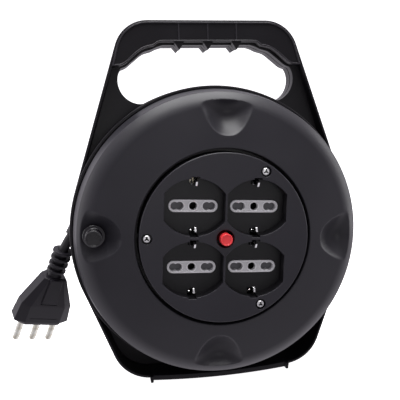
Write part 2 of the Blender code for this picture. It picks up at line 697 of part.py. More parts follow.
def build_socket_inserts(drum, grey):
    """Light strips with an earth hole and two pairs of pin holes, held by a flange behind the floor."""
    for number, place in enumerate(socket_places(), 1):
        holes = (circle(EARTH_HOLE_RADIUS, 12), pin_hole_outline(-1), pin_hole_outline(1))
        front = RECESS_DEPTH - 0.3
        back = RECESS_DEPTH + FLOOR_WALL + GAP
        strip = prism(f"socket_insert_{number}", stadium(STRIP_HALF_LENGTH, STRIP_HALF_HEIGHT), holes, front,
                      back + 1.0, drum, grey, location=place)
        flange_holes = (circle(EARTH_HOLE_RADIUS + 0.4, 12), stadium(4.8, 2.9, 3, -PIN_HOLE_OFFSET),
                        stadium(4.8, 2.9, 3, PIN_HOLE_OFFSET))
        flange = prism(f"insert_flange_{number}", stadium(18.6, 6.0), flange_holes, back, back + 1.2, drum, grey,
                       location=place)
        join(strip, flange)


def shutter_outline():
    """Two pads over the pin holes, joined by a bar that passes below the earth hole."""
    right = [(6.6, -5.0), (6.6, 3.1), (16.0, 3.1), (16.0, -8.0)]
    return [(-x, z) for x, z in reversed(right)] + right


def build_shutters(shutter_parents, grey):
    for number, parent in enumerate(shutter_parents, 1):
        prism(f"shutter_{number}", shutter_outline(), (), SHUTTER_Y, SHUTTER_Y + 2.0, parent, grey)


def build_earth_straps(drum, brass):
    """One sprung strap for each column of sockets, with four tongues that reach into the recesses."""
    base = 19.5
    tip = 2.8
    for number, x in enumerate((-SOCKET_X, SOCKET_X), 1):
        legs = sorted(side * z for z in (SOCKET_Z - EARTH_LEG_Z, SOCKET_Z + EARTH_LEG_Z) for side in (-1, 1))
        outline = [(base + 0.9, legs[0] - 0.4)]
        for index, z in enumerate(legs):
            if index > 0:
                outline.append((base, z - 0.4))
            inward = 0.9 if index % 2 == 0 else -0.9
            outline += [(9.0, z - 0.4), (6.0, z - 0.4 + inward), (tip, z - 0.4), (tip, z + 0.4),
                        (6.0, z + 0.4 + inward), (9.0, z + 0.4)]
            if index < len(legs) - 1:
                outline.append((base, z + 0.4))
        outline.append((base + 0.9, legs[-1] + 0.4))
        prism(f"earth_strap_{number}", outline, (), x - 2.0, x + 2.0, drum, brass, axis="X")


def build_contact_rails(drum, brass):
    """Live and neutral rails: each joins one pin column of both socket columns, with blades for the pins."""
    for name, side in (("contact_rail_live", 1), ("contact_rail_neutral", -1)):
        columns = [side * (-SOCKET_X - PIN_HOLE_OFFSET), side * (SOCKET_X - PIN_HOLE_OFFSET)]
        bridge = side * 37.0
        ends = sorted((bridge, -side * 28.5))
        low_x = min(columns) - 3.5
        high_x = max(columns) + 3.5
        rail = block(name, (low_x, RAIL_Y, bridge - 3.0), (high_x, RAIL_Y + 0.9, bridge + 3.0), drum, brass)
        for index, x in enumerate(columns, 1):
            strip = block(f"{name}_strip_{index}", (x - 3.4, RAIL_Y - 0.05, ends[0]),
                          (x + 3.4, RAIL_Y + 0.85, ends[1]), drum, brass)
            join(rail, strip)
            for z in (-SOCKET_Z, SOCKET_Z):
                for offset in (-2.9, 2.9):
                    label = f"{name}_blade_{index}_{round(z + offset)}"
                    blade = block(label, (x - 3.0, 16.0, z + offset - 0.4), (x + 3.0, RAIL_Y + 0.5, z + offset + 0.4),
                                  drum, brass)
                    join(rail, blade)


def build_back_cover(drum, black, white, steel, cord):
    """Cover behind the contacts, the terminal block on it, the cord clamp and the lead from the winding."""
    profile = ((0, BACK_COVER_Y), (48.0, BACK_COVER_Y), (48.0, BACK_COVER_Y + 2.0), (0, BACK_COVER_Y + 2.0))
    cover = turned("socket_back_cover", profile, drum, black, segments=48)
    for number, x in enumerate((-33.0, -10.5, 10.5, 33.0), 1):
        join(cover, block(f"rail_rest_{number}", (x - 1.2, RAIL_Y + 1.2, -18.0), (x + 1.2, BACK_COVER_Y + 0.6, 18.0),
                          drum, black))
    clamp_x, _, clamp_z = CLAMP_PLACE
    screw_places = [(clamp_x, 0, clamp_z + offset) for offset in CLAMP_SCREW_OFFSETS]
    for number, place in enumerate(screw_places, 1):
        join(cover, block(f"clamp_foot_{number}", (-4.0, BACK_COVER_Y + 1.0, -3.0), (4.0, 33.4, 3.0), drum, black,
                          place))
        cut(cover, rod(f"clamp_bore_{number}", 1.4, 29.5, 40.0, drum, black, place, 12))
    block("terminal_block", (-12.0, BACK_COVER_Y + 2.3, 17.0), (14.0, 40.0, 31.0), drum, white)
    clamp = block("cord_clamp", (-4.0, 34.0, -11.0), (4.0, 39.5, 11.0), drum, white, (clamp_x, 0, clamp_z))
    groove = rod("clamp_groove", CORD_RADIUS + 0.9, -8.0, 8.0, drum, white, segments=16)
    groove.matrix_basis = Matrix.Translation(to_metres(CLAMP_PLACE)) @ turn_y_to((1, 0, 0))
    cut(clamp, groove)
    for number, place in enumerate(screw_places, 1):
        cut(clamp, rod(f"clamp_hole_{number}", 1.5, 30.0, 45.0, drum, white, place, 12))
        screw = ((0, 30.5), (1.1, 30.5), (1.1, 39.8), (2.2, 39.8), (1.9, 41.2), (0, 41.2))
        turned(f"clamp_screw_{number}", screw, drum, steel, place, 12)
    tube("inner_lead", smooth_path(LEAD_ROUTE, 3), CORD_RADIUS, drum, cord, 1)


def build_breaker(drum, black):
    """Thermal cut-out behind the middle of the panel."""
    block("thermal_breaker", (-6.0, 16.2, -13.0), (6.0, BACK_COVER_Y - GAP, 13.0), drum, black)


def build_reset_button(parent, red):
    profile = ((0, -BUTTON_PROUD), (BUTTON_RADIUS - 0.8, -BUTTON_PROUD), (BUTTON_RADIUS, -BUTTON_PROUD + 0.8),
               (BUTTON_RADIUS, 12.8), (0, 12.8))
    turned("reset_button", profile, parent, red, segments=32)


def build_knob(knob_parent, drum, black, steel):
    """Winding knob on its pin in the left scoop; the pin's head sits behind the ring."""
    base = KNOB_BASE_Y
    front = KNOB_FRONT_Y
    profile = ((0, front + 2.6), (2.3, front + 2.6), (2.3, front + 0.3), (2.7, front), (5.2, front),
               (5.6, front + 0.5), (5.2, front + 6.0), (5.5, base - 2.6), (7.3, base - 1.7), (7.7, base - 1.0),
               (7.7, base), (2.4, base), (2.4, front + 4.0), (0, front + 4.0))
    turned("knob", profile, knob_parent, black, segments=20)
    pin = ((0, front + 4.4), (2.0, front + 4.4), (2.0, 20.4), (5.0, 20.4), (5.0, 22.0), (0, 22.0))
    turned("knob_pin", pin, drum, steel, (-KNOB_ORBIT, 0, 0), 20)


def tube(name, points, radius, parent, material, resolution):
    """A round cord as a curve with filled ends."""
    curve = bpy.data.curves.new(name, "CURVE")
    curve.dimensions = "3D"
    curve.bevel_depth = radius * MM
    curve.bevel_resolution = resolution
    curve.use_fill_caps = True
    spline = curve.splines.new("POLY")
    spline.points.add(len(points) - 1)
    for target, point in zip(spline.points, points):
        target.co = (*to_metres(point), 1.0)
    curve.materials.append(material)
    made = bpy.data.objects.new(name, curve)
    bpy.context.scene.collection.objects.link(made)
    made.parent = parent
    return made


def outlet_direction():
    """Direction of the cord where it passes the housing wall."""
    return (Vector(CORD_ROUTE[4]) - Vector(CORD_ROUTE[2])).normalized()


def outlet_cutter(root, black):
    cutter = rod("outlet_cutter", 5.4, -16.0, 16.0, root, black, segments=24)
    cutter.matrix_basis = Matrix.Translation(to_metres(CORD_ROUTE[3])) @ turn_y_to(outlet_direction())
    return cutter


def build_cord_outlet(root, black):
    """Bush that guides the cord through the housing wall."""
    bush = turned("cord_outlet", ((4.1, -6.0), (5.0, -6.0), (5.0, 6.0), (4.1, 6.0)), root, black, segments=24)
    bush.matrix_basis = Matrix.Translation(to_metres(CORD_ROUTE[3])) @ turn_y_to(outlet_direction())


def build_plug(plug, cord, black, steel):
    """Moulded plug along its own Y axis: ribbed strain relief, flared body and three round pins in line."""
    relief = [(3.9, 0.0)]
    for index in range(4):
        start = 0.4 + index * 5.4
        relief += [(5.0, start), (7.2, start + 0.3), (7.2, start + 2.2), (5.0, start + 2.6)]
    relief += [(5.4, RELIEF_LENGTH - GAP), (2.4, RELIEF_LENGTH - GAP), (2.4, 8.0), (3.9, 8.0)]
    turned("plug_strain_relief", relief, plug, black, segments=16)
    stations = ((22.0, 9.0, 4.8, 5.5, 6.8), (46.0, 20.5, 4.5, 6.6, 8.8), (58.5, 20.8, 5.4, 7.0, 8.8),
                (RELIEF_LENGTH + PLUG_LENGTH, 16.0, 5.4, 7.0, 7.6))
    body = loft("plug_body", stations, plug, black)
    for number, offset in enumerate((-PLUG_PIN_SPACING, 0.0, PLUG_PIN_SPACING), 1):
        face = RELIEF_LENGTH + PLUG_LENGTH
        cut(body, rod(f"pin_socket_{number}", PLUG_PIN_RADIUS + GAP, face - 8.0, face + 4.0, plug, black,
                      (offset, 0, 0), 20))
        tip = face + PLUG_PIN_LENGTH
        profile = ((0, face - 7.6), (PLUG_PIN_RADIUS, face - 7.6), (PLUG_PIN_RADIUS, tip - 1.6), (1.6, tip - 0.3),
                   (0, tip))
        turned(f"plug_pin_{number}", profile, plug, steel, (offset, 0, 0), 16)


def loft(name, stations, parent, material):
    """Skin eight-sided sections (y, half width, edge thickness, middle half width, middle thickness)."""
    bm = bmesh.new()
    rings = []
    for y, wide, edge, middle, thick in stations:
        corners = ((wide, edge), (middle, thick), (-middle, thick), (-wide, edge),
                   (-wide, -edge), (-middle, -thick), (middle, -thick), (wide, -edge))
        rings.append([bm.verts.new((x, y, z)) for x, z in corners])
    for ring, after in zip(rings, rings[1:]):
        for i in range(8):
            j = (i + 1) % 8
            bm.faces.new((ring[i], ring[j], after[j], after[i]))
    bm.faces.new(rings[0])
    bm.faces.new(rings[-1])
    return add_object(name, bm, parent, material, sharp=20)


def plug_matrix():
    along = Vector(PLUG_AXIS).normalized()
    row = Vector(PLUG_ROW)
    row = (row - row.dot(along) * along).normalized()
    face = row.cross(along)
    return Matrix((row, along, face)).transposed().to_4x4()


def build_reel():
    clear_scene()
    black = plastic("black_plastic", (0.012, 0.011, 0.014), 0.45)
    charcoal = plastic("charcoal_plastic", (0.03, 0.03, 0.034), 0.5)
    panel_black = plastic("panel_plastic", (0.025, 0.024, 0.032), 0.5)
    cord = plastic("cord_jacket", (0.012, 0.012, 0.013), 0.55)
    grey = plastic("light_grey_plastic", (0.55, 0.55, 0.58), 0.4)
    shutter_grey = plastic("shutter_plastic", (0.12, 0.12, 0.13), 0.4)
    white = plastic("white_plastic", (0.7, 0.7, 0.68), 0.45)
    nylon = plastic("nylon", (0.6, 0.58, 0.52), 0.4)
    red = plastic("red_plastic", (0.7, 0.03, 0.03), 0.35)
    steel = plastic("steel", (0.6, 0.6, 0.6), 0.3, 1.0)
    brass = plastic("brass", (0.75, 0.6, 0.3), 0.3, 1.0)
    axis_point = (0, PANEL_FACE_Y, AXIS_HEIGHT)
    root = empty("frame_origin", axis_point)
    drum = empty("drum_origin", (0, 0, 0), Matrix.Rotation(DRUM_ANGLE, 4, "Y"), root)
    build_front_frame(root, black)
    build_rear_housing(root, black)
    build_handle_cover(root, black)
    build_frame_screws(root, steel)
    build_spigot_fixings(root, steel)
    build_cord_outlet(root, black)
    tube("cord_tail", smooth_path(CORD_ROUTE, 3), CORD_RADIUS, root, cord, 3)
    build_plug(empty("plug_origin", PLUG_ORIGIN, plug_matrix(), root), cord, black, steel)
    build_front_ring(drum, charcoal)
    build_drum_core(drum, black)
    build_rear_flange(drum, black, steel, nylon)
    build_winding(drum, cord)
    build_socket_panel(drum, panel_black)
    build_panel_screws(drum, steel)
    build_socket_inserts(drum, grey)
    build_shutters([empty(f"shutter_origin_{i}", place, parent=drum) for i, place in
                    enumerate(socket_places(), 1)], shutter_grey)
    build_earth_straps(drum, brass)
    build_contact_rails(drum, brass)
    build_back_cover(drum, black, white, steel, cord)
    build_breaker(drum, black)
    build_reset_button(empty("button_origin", (0, 0, 0), parent=drum), red)
    build_knob(empty("knob_origin", (-KNOB_ORBIT, 0, 0), parent=drum), drum, black, steel)


build_reel()
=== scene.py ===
"""Looks of the extension cord reel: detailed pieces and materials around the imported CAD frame.

Lengths are millimetres in the drum's own frame unless a name ends in _M: X to the right, Y from the socket
panel's face towards the back, Z up from the drum's axis. Matrices such as DRUM turn them into the row frame.
"""

import json
import math

import bmesh
import bpy
from mathutils import Matrix, Vector


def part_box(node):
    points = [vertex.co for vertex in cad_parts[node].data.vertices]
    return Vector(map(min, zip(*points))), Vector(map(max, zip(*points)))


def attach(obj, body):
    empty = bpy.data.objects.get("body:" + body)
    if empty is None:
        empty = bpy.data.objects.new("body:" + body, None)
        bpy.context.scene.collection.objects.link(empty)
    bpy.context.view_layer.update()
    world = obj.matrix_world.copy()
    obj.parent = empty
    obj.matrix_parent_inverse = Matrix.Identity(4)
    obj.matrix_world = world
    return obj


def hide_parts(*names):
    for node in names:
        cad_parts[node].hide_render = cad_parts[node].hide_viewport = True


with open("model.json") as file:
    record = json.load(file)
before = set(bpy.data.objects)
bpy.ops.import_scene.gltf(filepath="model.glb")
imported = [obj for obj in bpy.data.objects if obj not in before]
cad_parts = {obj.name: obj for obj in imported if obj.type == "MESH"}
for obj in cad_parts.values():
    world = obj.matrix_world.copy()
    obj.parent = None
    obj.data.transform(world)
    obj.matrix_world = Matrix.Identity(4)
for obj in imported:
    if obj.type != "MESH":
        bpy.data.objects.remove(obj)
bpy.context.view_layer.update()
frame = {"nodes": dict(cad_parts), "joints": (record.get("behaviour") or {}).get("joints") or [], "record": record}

MM = 0.001
JOINTS = {joint["name"]: joint for joint in frame["joints"]}
AXIS_M = Vector(JOINTS["drum_spin"]["pos_m"])
KNOB_AXIS_M = Vector(JOINTS["knob_spin"]["pos_m"])
SHUTTER_WAY = JOINTS["shutter_slide_1"]["axis"]
DRUM_ANGLE = math.atan2(-SHUTTER_WAY[0], -SHUTTER_WAY[2])
FRAME = Matrix.Translation(AXIS_M)
DRUM = FRAME @ Matrix.Rotation(DRUM_ANGLE, 4, "Y")
KNOB_ORBIT = (KNOB_AXIS_M - AXIS_M).length / MM

# Camera: where it stands from the drum's axis, how it is turned, and its lens.
CAMERA_OFFSET = (-78.76, -359.35, 74.03)
CAMERA_YAW = math.radians(-9.746)
CAMERA_PITCH = math.radians(-7.219)
CAMERA_ROLL = math.radians(1.710)
CAMERA_LENS = 49.04

# Free cord, from the winding's edge through the housing wall to the plug's strain relief.
CORD_DIAMETER = 7.0
CORD_ROUTE = (
    (-85.5, 53.5, 41.7),
    (-92.2, 53.0, 28.0),
    (-98.7, 52.4, 14.4),
    (-104.6, 51.9, 2.4),
    (-109.2, 51.6, -4.8),
    (-112.75, 52.2, -11.0),
    (-115.0, 53.6, -16.4),
)
PLUG_ORIGIN = (-112.75, 52.2, -11.0)
PLUG_AXIS = (-0.367, 0.253, -0.895)
PLUG_ROW = (0.881, 0.405, -0.247)
RELIEF_LENGTH = 22.0
PLUG_LENGTH = 42.0
PLUG_PIN_SPACING = 13.0
PLUG_PIN_RADIUS = 2.5
PLUG_PIN_LENGTH = 19.0

# Winding inside the drum.
COIL_LAYERS = 4
COIL_TURNS = 5
COIL_FIRST_RADIUS = 66.6
COIL_PITCH = 7.05
COIL_START_Y = 32.8
COIL_POINTS = 48

# Frame.
HOUSING_RADIUS = 106.7
HOUSING_INNER_RADIUS = 104.2
WALL_RADIUS = 106.3
HOUSING_FRONT_Y = 31.0
SEAM_Y = 57.0
SEAM_GROOVE = 0.5
PILLAR_BACK_Y = 67.0
BACK_Y = 72.0
BACK_PANEL_DEPTH = 1.1
RIM_WIDTH = 2.0
WEB_Y = 50.0
FRAME_FRONT_Y = 36.0
FRAME_FRONT_LEAN = 0.055
HANDLE_TOP = 154.3
FRAME_BOTTOM = -108.4
UPPER_SIDE_SLOPE = 0.325
LOWER_SIDE_SLOPE = 0.40
TOP_CORNER_RADIUS = 25.0
BOTTOM_CORNER_RADIUS = 30.0
OPENING_END_X = 49.8
OPENING_END_Z = 112.0
OPENING_END_RADIUS = 17.0
OPENING_BOTTOM_RADIUS = 107.0
GRIP_Z = 137.3
GRIP_HALF_LENGTH = 33.0
GRIP_RIB_PLACES = (-21.4, 0.0, 21.4)
GRIP_RIB_HALF_WIDTH = 3.2
GRIP_RIB_DEPTH = 3.7
COVER_INSET = 1.2
COVER_EDGE_Z = 138.7
COVER_RIB_HALF_WIDTH = 3.7
COVER_RIB_DEPTH = 5.6
FRAME_SCREWS = ((59.0, 140.0), (81.3, 75.0), (72.5, -87.0))
FOOT_HALF_LENGTH = 51.5
FOOT_TOP = -105.8
FOOT_BOTTOM = -109.7
FOOT_END_Y = 28.5
FOOT_FRONT_Y = 23.8
RUNNER_X = 52.4
RUNNER_HALF_WIDTH = 1.6
RUNNER_TOP = -106.4
GROUND_Z = -111.2

# Drum.
PANEL_RADIUS = 59.3
PANEL_FILLET = 0.9
PANEL_BACK_INSET = 2.0
RING_INNER_RADIUS = 61.8
RING_RADIUS = 103.7
RING_TOP_Y = 2.3
RING_RIM_Y = 28.1
RING_WALL = 2.4
CONE_SLOPE = 0.205
SHOULDER_RADIUS = 90.0
EDGE_RADIUS = 100.8
EDGE_SLOPE = 1.0
SCOOP_CENTRE = 85.5
SCOOP_REACH = 15.0
SCOOP_OUTER_REACH = 10.2
SCOOP_DEPTH = 8.0
SCOOP_TIP_RADIUS = 70.4
SCOOP_WIDE_RADIUS = 95.5
SCOOP_HALF_WIDTH = 19.2
SCOOP_WIDENING = 0.42
SCOOP_EDGE = 0.35
SCREW_CIRCLE_RADIUS = 54.0
SCREW_ANGLES = (60, 180, 300)
SCREW_SEAT_RADIUS = 3.7
SCREW_SEAT_DEPTH = 2.6
SCREW_HOLE_RADIUS = 1.8
DRIVER_REACH = 1.75

# Sockets.
SOCKET_X = 21.75
SOCKET_Z = 21.55
RECESS_HALF_WIDTH = 21.0
RECESS_HALF_HEIGHT = 19.6
RECESS_FLAT_HALF = 9.3
RECESS_DEPTH = 9.2
FLOOR_WALL = 2.0
STRIP_HALF_LENGTH = 17.4
STRIP_HALF_HEIGHT = 4.4
STRIP_PROUD = 0.3
POCKET_DEPTH = 0.45
PIN_SPACINGS = (19.0, 26.0)
PIN_HOLE_RADIUS = 2.75
NOTCH_HALF_WIDTH = 2.8
NOTCH_INNER = 15.5
NOTCH_OUTER = 20.6
BUTTON_RADIUS = 4.2
BUTTON_HOLE_RADIUS = 6.2
BUTTON_PROUD = 4.3

# Meshing.
WELD_DISTANCE = 0.002
RIPPLE_SEGMENTS = 720
LEAN_REACH = 8.0


# ---------------------------------------------------------------- outlines

def arc(cx, cz, radius, start, end, steps):
    """Points on an arc, angles in degrees."""
    angles = [math.radians(start + (end - start) * i / steps) for i in range(steps + 1)]
    return [(cx + radius * math.cos(a), cz + radius * math.sin(a)) for a in angles]


def circle(radius, steps=96, cx=0.0, cz=0.0):
    return arc(cx, cz, radius, 0, 360, steps)[:-1]


def stadium(half_length, half_height, steps=16, cx=0.0, cz=0.0):
    """A slot outline with round ends."""
    straight = half_length - half_height
    right = arc(cx + straight, cz, half_height, -90, 90, steps)
    left = arc(cx - straight, cz, half_height, 90, 270, steps)
    return right + left


def rounded(corners, radii, steps):
    """A closed polygon whose corners are arcs; a radius of 0 keeps the corner."""
    points = []
    count = len(corners)
    for i, radius in enumerate(radii):
        here = Vector(corners[i])
        if radius == 0:
            points.append(tuple(here))
            continue
        back = (Vector(corners[i - 1]) - here).normalized()
        ahead = (Vector(corners[(i + 1) % count]) - here).normalized()
        half = back.angle(ahead) / 2
        centre = here + (back + ahead).normalized() * radius / math.sin(half)
        reach = radius / math.tan(half)
        first = here + back * reach - centre
        sweep = first.angle_signed(here + ahead * reach - centre)
        for k in range(steps + 1):
            points.append(tuple(centre + Matrix.Rotation(-sweep * k / steps, 2) @ first))
    return points


def moved(loop, dx, dz):
    return [(x + dx, z + dz) for x, z in loop]


def mirrored(loop):
    """The loop on the other side of the middle, running the same way round."""
    return [(-x, z) for x, z in reversed(loop)]


def area(loop):
    pairs = zip(loop, loop[1:] + loop[:1])
    return sum(a[0] * b[1] - b[0] * a[1] for a, b in pairs) / 2


def grown(loop, distance):
    """The loop with every point moved out along its corner's normal."""
    side = 1 if area(loop) > 0 else -1
    points = []
    for i, here in enumerate(loop):
        before = Vector(here) - Vector(loop[i - 1])
        after = Vector(loop[(i + 1) % len(loop)]) - Vector(here)
        first = Vector((before.y, -before.x)).normalized()
        second = Vector((after.y, -after.x)).normalized()
        middle = first + second
        if middle.length < 1e-6:
            middle = first
        middle.normalize()
        stretch = min(1 / max(middle.dot(first), 0.5), 1.6)
        points.append(tuple(Vector(here) + middle * distance * side * stretch))
    return points


def smooth_path(points, steps):
    """Catmull-Rom curve through the points."""
    vectors = [Vector(p) for p in points]
    vectors = [2 * vectors[0] - vectors[1], *vectors, 2 * vectors[-1] - vectors[-2]]
    path = []
    for a, b, c, d in zip(vectors, vectors[1:], vectors[2:], vectors[3:]):
        for i in range(steps):
            t = i / steps
            path.append(0.5 * ((2 * b) + (c - a) * t + (2 * a - 5 * b + 4 * c - d) * t**2
                               + (3 * b - a - 3 * c + d) * t**3))
    path.append(vectors[-2])
    return [tuple(p) for p in path]


def flat_curve(knots, steps):
    """Smooth curve through flat knots."""
    return [(point[0], point[1]) for point in smooth_path([(*knot, 0.0) for knot in knots], steps)]


# ---------------------------------------------------------------- meshes

def skin(bm, rings):
    """Faces between neighbouring rings of vertices; a ring of one vertex is a point on the axis."""
    for ring, after in zip(rings, rings[1:]):
        count = max(len(ring), len(after))
        if count == 1:
            continue
        for i in range(count):
            j = (i + 1) % count
            corners = [ring[i % len(ring)], ring[j % len(ring)], after[j % len(after)], after[i % len(after)]]
            bm.faces.new(list(dict.fromkeys(corners)))


class Shell:
    """A closed surface put together from loops of points; touching loops are welded at the end."""

    def __init__(self):
        self.bm = bmesh.new()

    def add_loop(self, loop, y):
        """Points of a flat outline at a depth; y may be a function of a point's height."""
        depth = y if callable(y) else lambda z: y
        return [self.bm.verts.new((x, depth(z), z)) for x, z in loop]

    def strip(self, loop_a, y_a, loop_b, y_b):
        skin(self.bm, [self.add_loop(loop_a, y_a), self.add_loop(loop_b, y_b)])

    def ribbon(self, points, depths):
        """A wall through depths along an open chain of points."""
        for y_a, y_b in zip(depths, depths[1:]):
            first = self.add_loop(points, y_a)
            second = self.add_loop(points, y_b)
            for i in range(len(points) - 1):
                self.bm.faces.new((first[i], first[i + 1], second[i + 1], second[i]))

    def cap(self, y, outer, holes=()):
        """A flat face with holes."""
        edges = []
        for loop in (outer, *holes):
            verts = self.add_loop(loop, y)
            edges += [self.bm.edges.new(pair) for pair in zip(verts, verts[1:] + verts[:1])]
        bmesh.ops.triangle_fill(self.bm, use_beauty=True, edges=edges, normal=(0, 1, 0))

    def walls(self, loop, levels):
        """A side wall through (depth, growth) levels of one loop."""
        for (y_a, grow_a), (y_b, grow_b) in zip(levels, levels[1:]):
            self.strip(grown(loop, grow_a), y_a, grown(loop, grow_b), y_b)

    def finish(self, name, matrix, sharp=40):
        bmesh.ops.remove_doubles(self.bm, verts=self.bm.verts, dist=WELD_DISTANCE)
        return mesh_object(name, self.bm, matrix, sharp)


def placed(name, data, matrix):
    """A new object in the scene with this data, placed by a matrix."""
    made = bpy.data.objects.new(name, data)
    bpy.context.scene.collection.objects.link(made)
    made.matrix_world = matrix
    return made


def mesh_object(name, bm, matrix, sharp=40):
    """Turn a bmesh in millimetres into an object placed by a matrix, shaded smooth with clean flats."""
    bmesh.ops.recalc_face_normals(bm, faces=bm.faces)
    bmesh.ops.scale(bm, vec=(MM, MM, MM), verts=bm.verts)
    mesh = bpy.data.meshes.new(name)
    bm.to_mesh(mesh)
    bm.free()
    mesh.shade_smooth()
    mesh.set_sharp_from_angle(angle=math.radians(sharp))
    return placed(name, mesh, matrix)


def even_shading(piece):
    """Lets large flat faces keep a flat look beside their small fillets."""
    modifier = piece.modifiers.new("even_shading", "WEIGHTED_NORMAL")
    modifier.keep_sharp = True
    modifier.weight = 100


def fillet_levels(y, radius, steps, toward=1):
    """(depth, growth) levels of a rounded outer edge at the face at depth y; growth is 0 on the side wall."""
    levels = []
    for k in range(steps + 1):
        turn = math.pi / 2 * k / steps
        levels.append((y + toward * radius * (1 - math.cos(turn)), -radius * (1 - math.sin(turn))))
    return levels


def hole_levels(y, radius, steps, toward=1):
    """The same levels for the edge of a hole, which grows the other way."""
    return [(depth, -growth) for depth, growth in fillet_levels(y, radius, steps, toward)]


def moulded(name, outer, front, back, fillet, matrix, back_fillet=0.0, lean=0.0, steps=4):
    """A flat moulding whose front edge, and back edge if asked, is rounded; lean tilts its front."""
    def leaning(y):
        reach = max(0.0, 1.0 - (y - front) / LEAN_REACH)
        return lambda z: y + lean * z * reach

    levels = fillet_levels(front, fillet, steps)
    levels += fillet_levels(back, back_fillet, steps, -1)[::-1] if back_fillet else [(back, 0.0)]
    shell = Shell()
    shell.walls(outer, [(leaning(y), growth) for y, growth in levels])
    shell.cap(leaning(front), grown(outer, levels[0][1]))
    shell.cap(leaning(back), grown(outer, levels[-1][1]))
    return shell.finish(name, matrix)


def turned(name, profile, matrix, segments=96, sharp=40):
    """Turn a closed (radius, y) profile about the Y axis; radius 0 closes the shape on the axis."""
    bm = bmesh.new()
    rings = []
    for radius, y in profile:
        if radius < 1e-6:
            rings.append([bm.verts.new((0, y, 0))])
            continue
        angles = [2 * math.pi * (i + 0.5) / segments for i in range(segments)]
        rings.append([bm.verts.new((radius * math.cos(a), y, radius * math.sin(a))) for a in angles])
    skin(bm, rings + rings[:1])
    return mesh_object(name, bm, matrix, sharp)


def rippled(name, profile, matrix, depth_at, sharp):
    """Turn a closed (radius, y) profile; depth_at(station, radius, y, angle) says how deep each point is."""
    angles = [2 * math.pi * i / RIPPLE_SEGMENTS for i in range(RIPPLE_SEGMENTS)]
    bm = bmesh.new()
    rings = []
    for station, (radius, y) in enumerate(profile):
        points = [(radius * math.cos(a), depth_at(station, radius, y, a), radius * math.sin(a))
                  for a in angles]
        rings.append([bm.verts.new(point) for point in points])
    skin(bm, rings + rings[:1])
    return mesh_object(name, bm, matrix, sharp)


def lofted(name, sections, matrix, sharp):
    """A skin over sections of points, with a face on both ends."""
    bm = bmesh.new()
    rings = [[bm.verts.new(point) for point in section] for section in sections]
    skin(bm, rings)
    bm.faces.new(rings[0])
    bm.faces.new(rings[-1])
    return mesh_object(name, bm, matrix, sharp)


def combine(target, tool, operation):
    """Join or cut target with tool by an exact Boolean, then drop the tool."""
    modifier = target.modifiers.new(tool.name, "BOOLEAN")
    modifier.operation = operation
    modifier.object = tool
    modifier.solver = "EXACT"
    bpy.context.view_layer.update()
    graph = bpy.context.evaluated_depsgraph_get()
    mesh = bpy.data.meshes.new_from_object(target.evaluated_get(graph))
    target.modifiers.clear()
    target.data = mesh
    mesh.set_sharp_from_angle(angle=math.radians(30))
    bpy.data.objects.remove(tool, do_unlink=True)


def gather(pieces):
    """Put several closed shells into one object."""
    with bpy.context.temp_override(active_object=pieces[0], object=pieces[0], selected_objects=pieces,
                                   selected_editable_objects=pieces):
        bpy.ops.object.join()
    return pieces[0]


def plain_prism(name, outline, start, end, matrix):
    shell = Shell()
    shell.strip(outline, start, outline, end)
    shell.cap(start, outline)
    shell.cap(end, outline)
    return shell.finish(name, matrix)


def finish_piece(piece, looks, body, slot, *nodes, look=None):
    """Parent a piece to its body, give it the material of its slot unless look names one, and hide the CAD nodes
    it stands in for.
    """
    piece.data.materials.clear()
    piece.data.materials.append(looks[look or slot])
    if piece.type == "MESH":
        even_shading(piece)
    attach(piece, body)
    if nodes:
        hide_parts(*nodes)
    return piece


# ---------------------------------------------------------------- materials

def node(tree, kind, **values):
    made = tree.nodes.new(kind)
    for key, value in values.items():
        setattr(made, key, value)
    return made


def noise(tree, coordinates, scale, detail, roughness=0.5):
    made = node(tree, "ShaderNodeTexNoise")
    made.inputs["Scale"].default_value = scale
    made.inputs["Detail"].default_value = detail
    made.inputs["Roughness"].default_value = roughness
    tree.links.new(coordinates, made.inputs["Vector"])
    return made.outputs["Fac"]


def ranged(tree, value, low, high, to_low, to_high):
    made = node(tree, "ShaderNodeMapRange")
    for socket, number in zip(("From Min", "From Max", "To Min", "To Max"), (low, high, to_low, to_high)):
        made.inputs[socket].default_value = number
    tree.links.new(value, made.inputs["Value"])
    return made.outputs["Result"]


def blended(tree, factor, first, second):
    made = node(tree, "ShaderNodeMix", data_type="RGBA")
    made.inputs["A"].default_value = (*first, 1.0) if isinstance(first, tuple) else (0, 0, 0, 1)
    made.inputs["B"].default_value = (*second, 1.0)
    if not isinstance(first, tuple):
        tree.links.new(first, made.inputs["A"])
    tree.links.new(factor, made.inputs["Factor"])
    return made.outputs["Result"]


def shaded(colour, factor):
    return tuple(min(1.0, channel * factor) for channel in colour)


def painted_depth_shade(tree, base, place, colour, sunk):
    """The base colour, and a darker copy behind the depth in sunk: painted shade in recesses and holes."""
    split = node(tree, "ShaderNodeSeparateXYZ")
    tree.links.new(place, split.inputs["Vector"])
    depth, factor = sunk
    # deep is the mask of the painted shade: 1 behind the depth, 0 in front of it.
    deep = ranged(tree, split.outputs["Y"], (depth - 0.1) * MM, (depth + 0.1) * MM, 0.0, 1.0)
    return blended(tree, deep, base, shaded(colour, factor))


def new_material(name):
    material = bpy.data.materials.new(name)
    material.use_nodes = True
    tree = material.node_tree
    return material, tree, tree.nodes["Principled BSDF"]


def wire_surface(tree, shader, base, roughness, height, strength, distance):
    """Link colour and roughness, and turn the height into bump."""
    tree.links.new(base, shader.inputs["Base Color"])
    tree.links.new(roughness, shader.inputs["Roughness"])
    bump = node(tree, "ShaderNodeBump")
    bump.inputs["Strength"].default_value = strength
    bump.inputs["Distance"].default_value = distance
    tree.links.new(height, bump.inputs["Height"])
    tree.links.new(bump.outputs["Normal"], shader.inputs["Normal"])


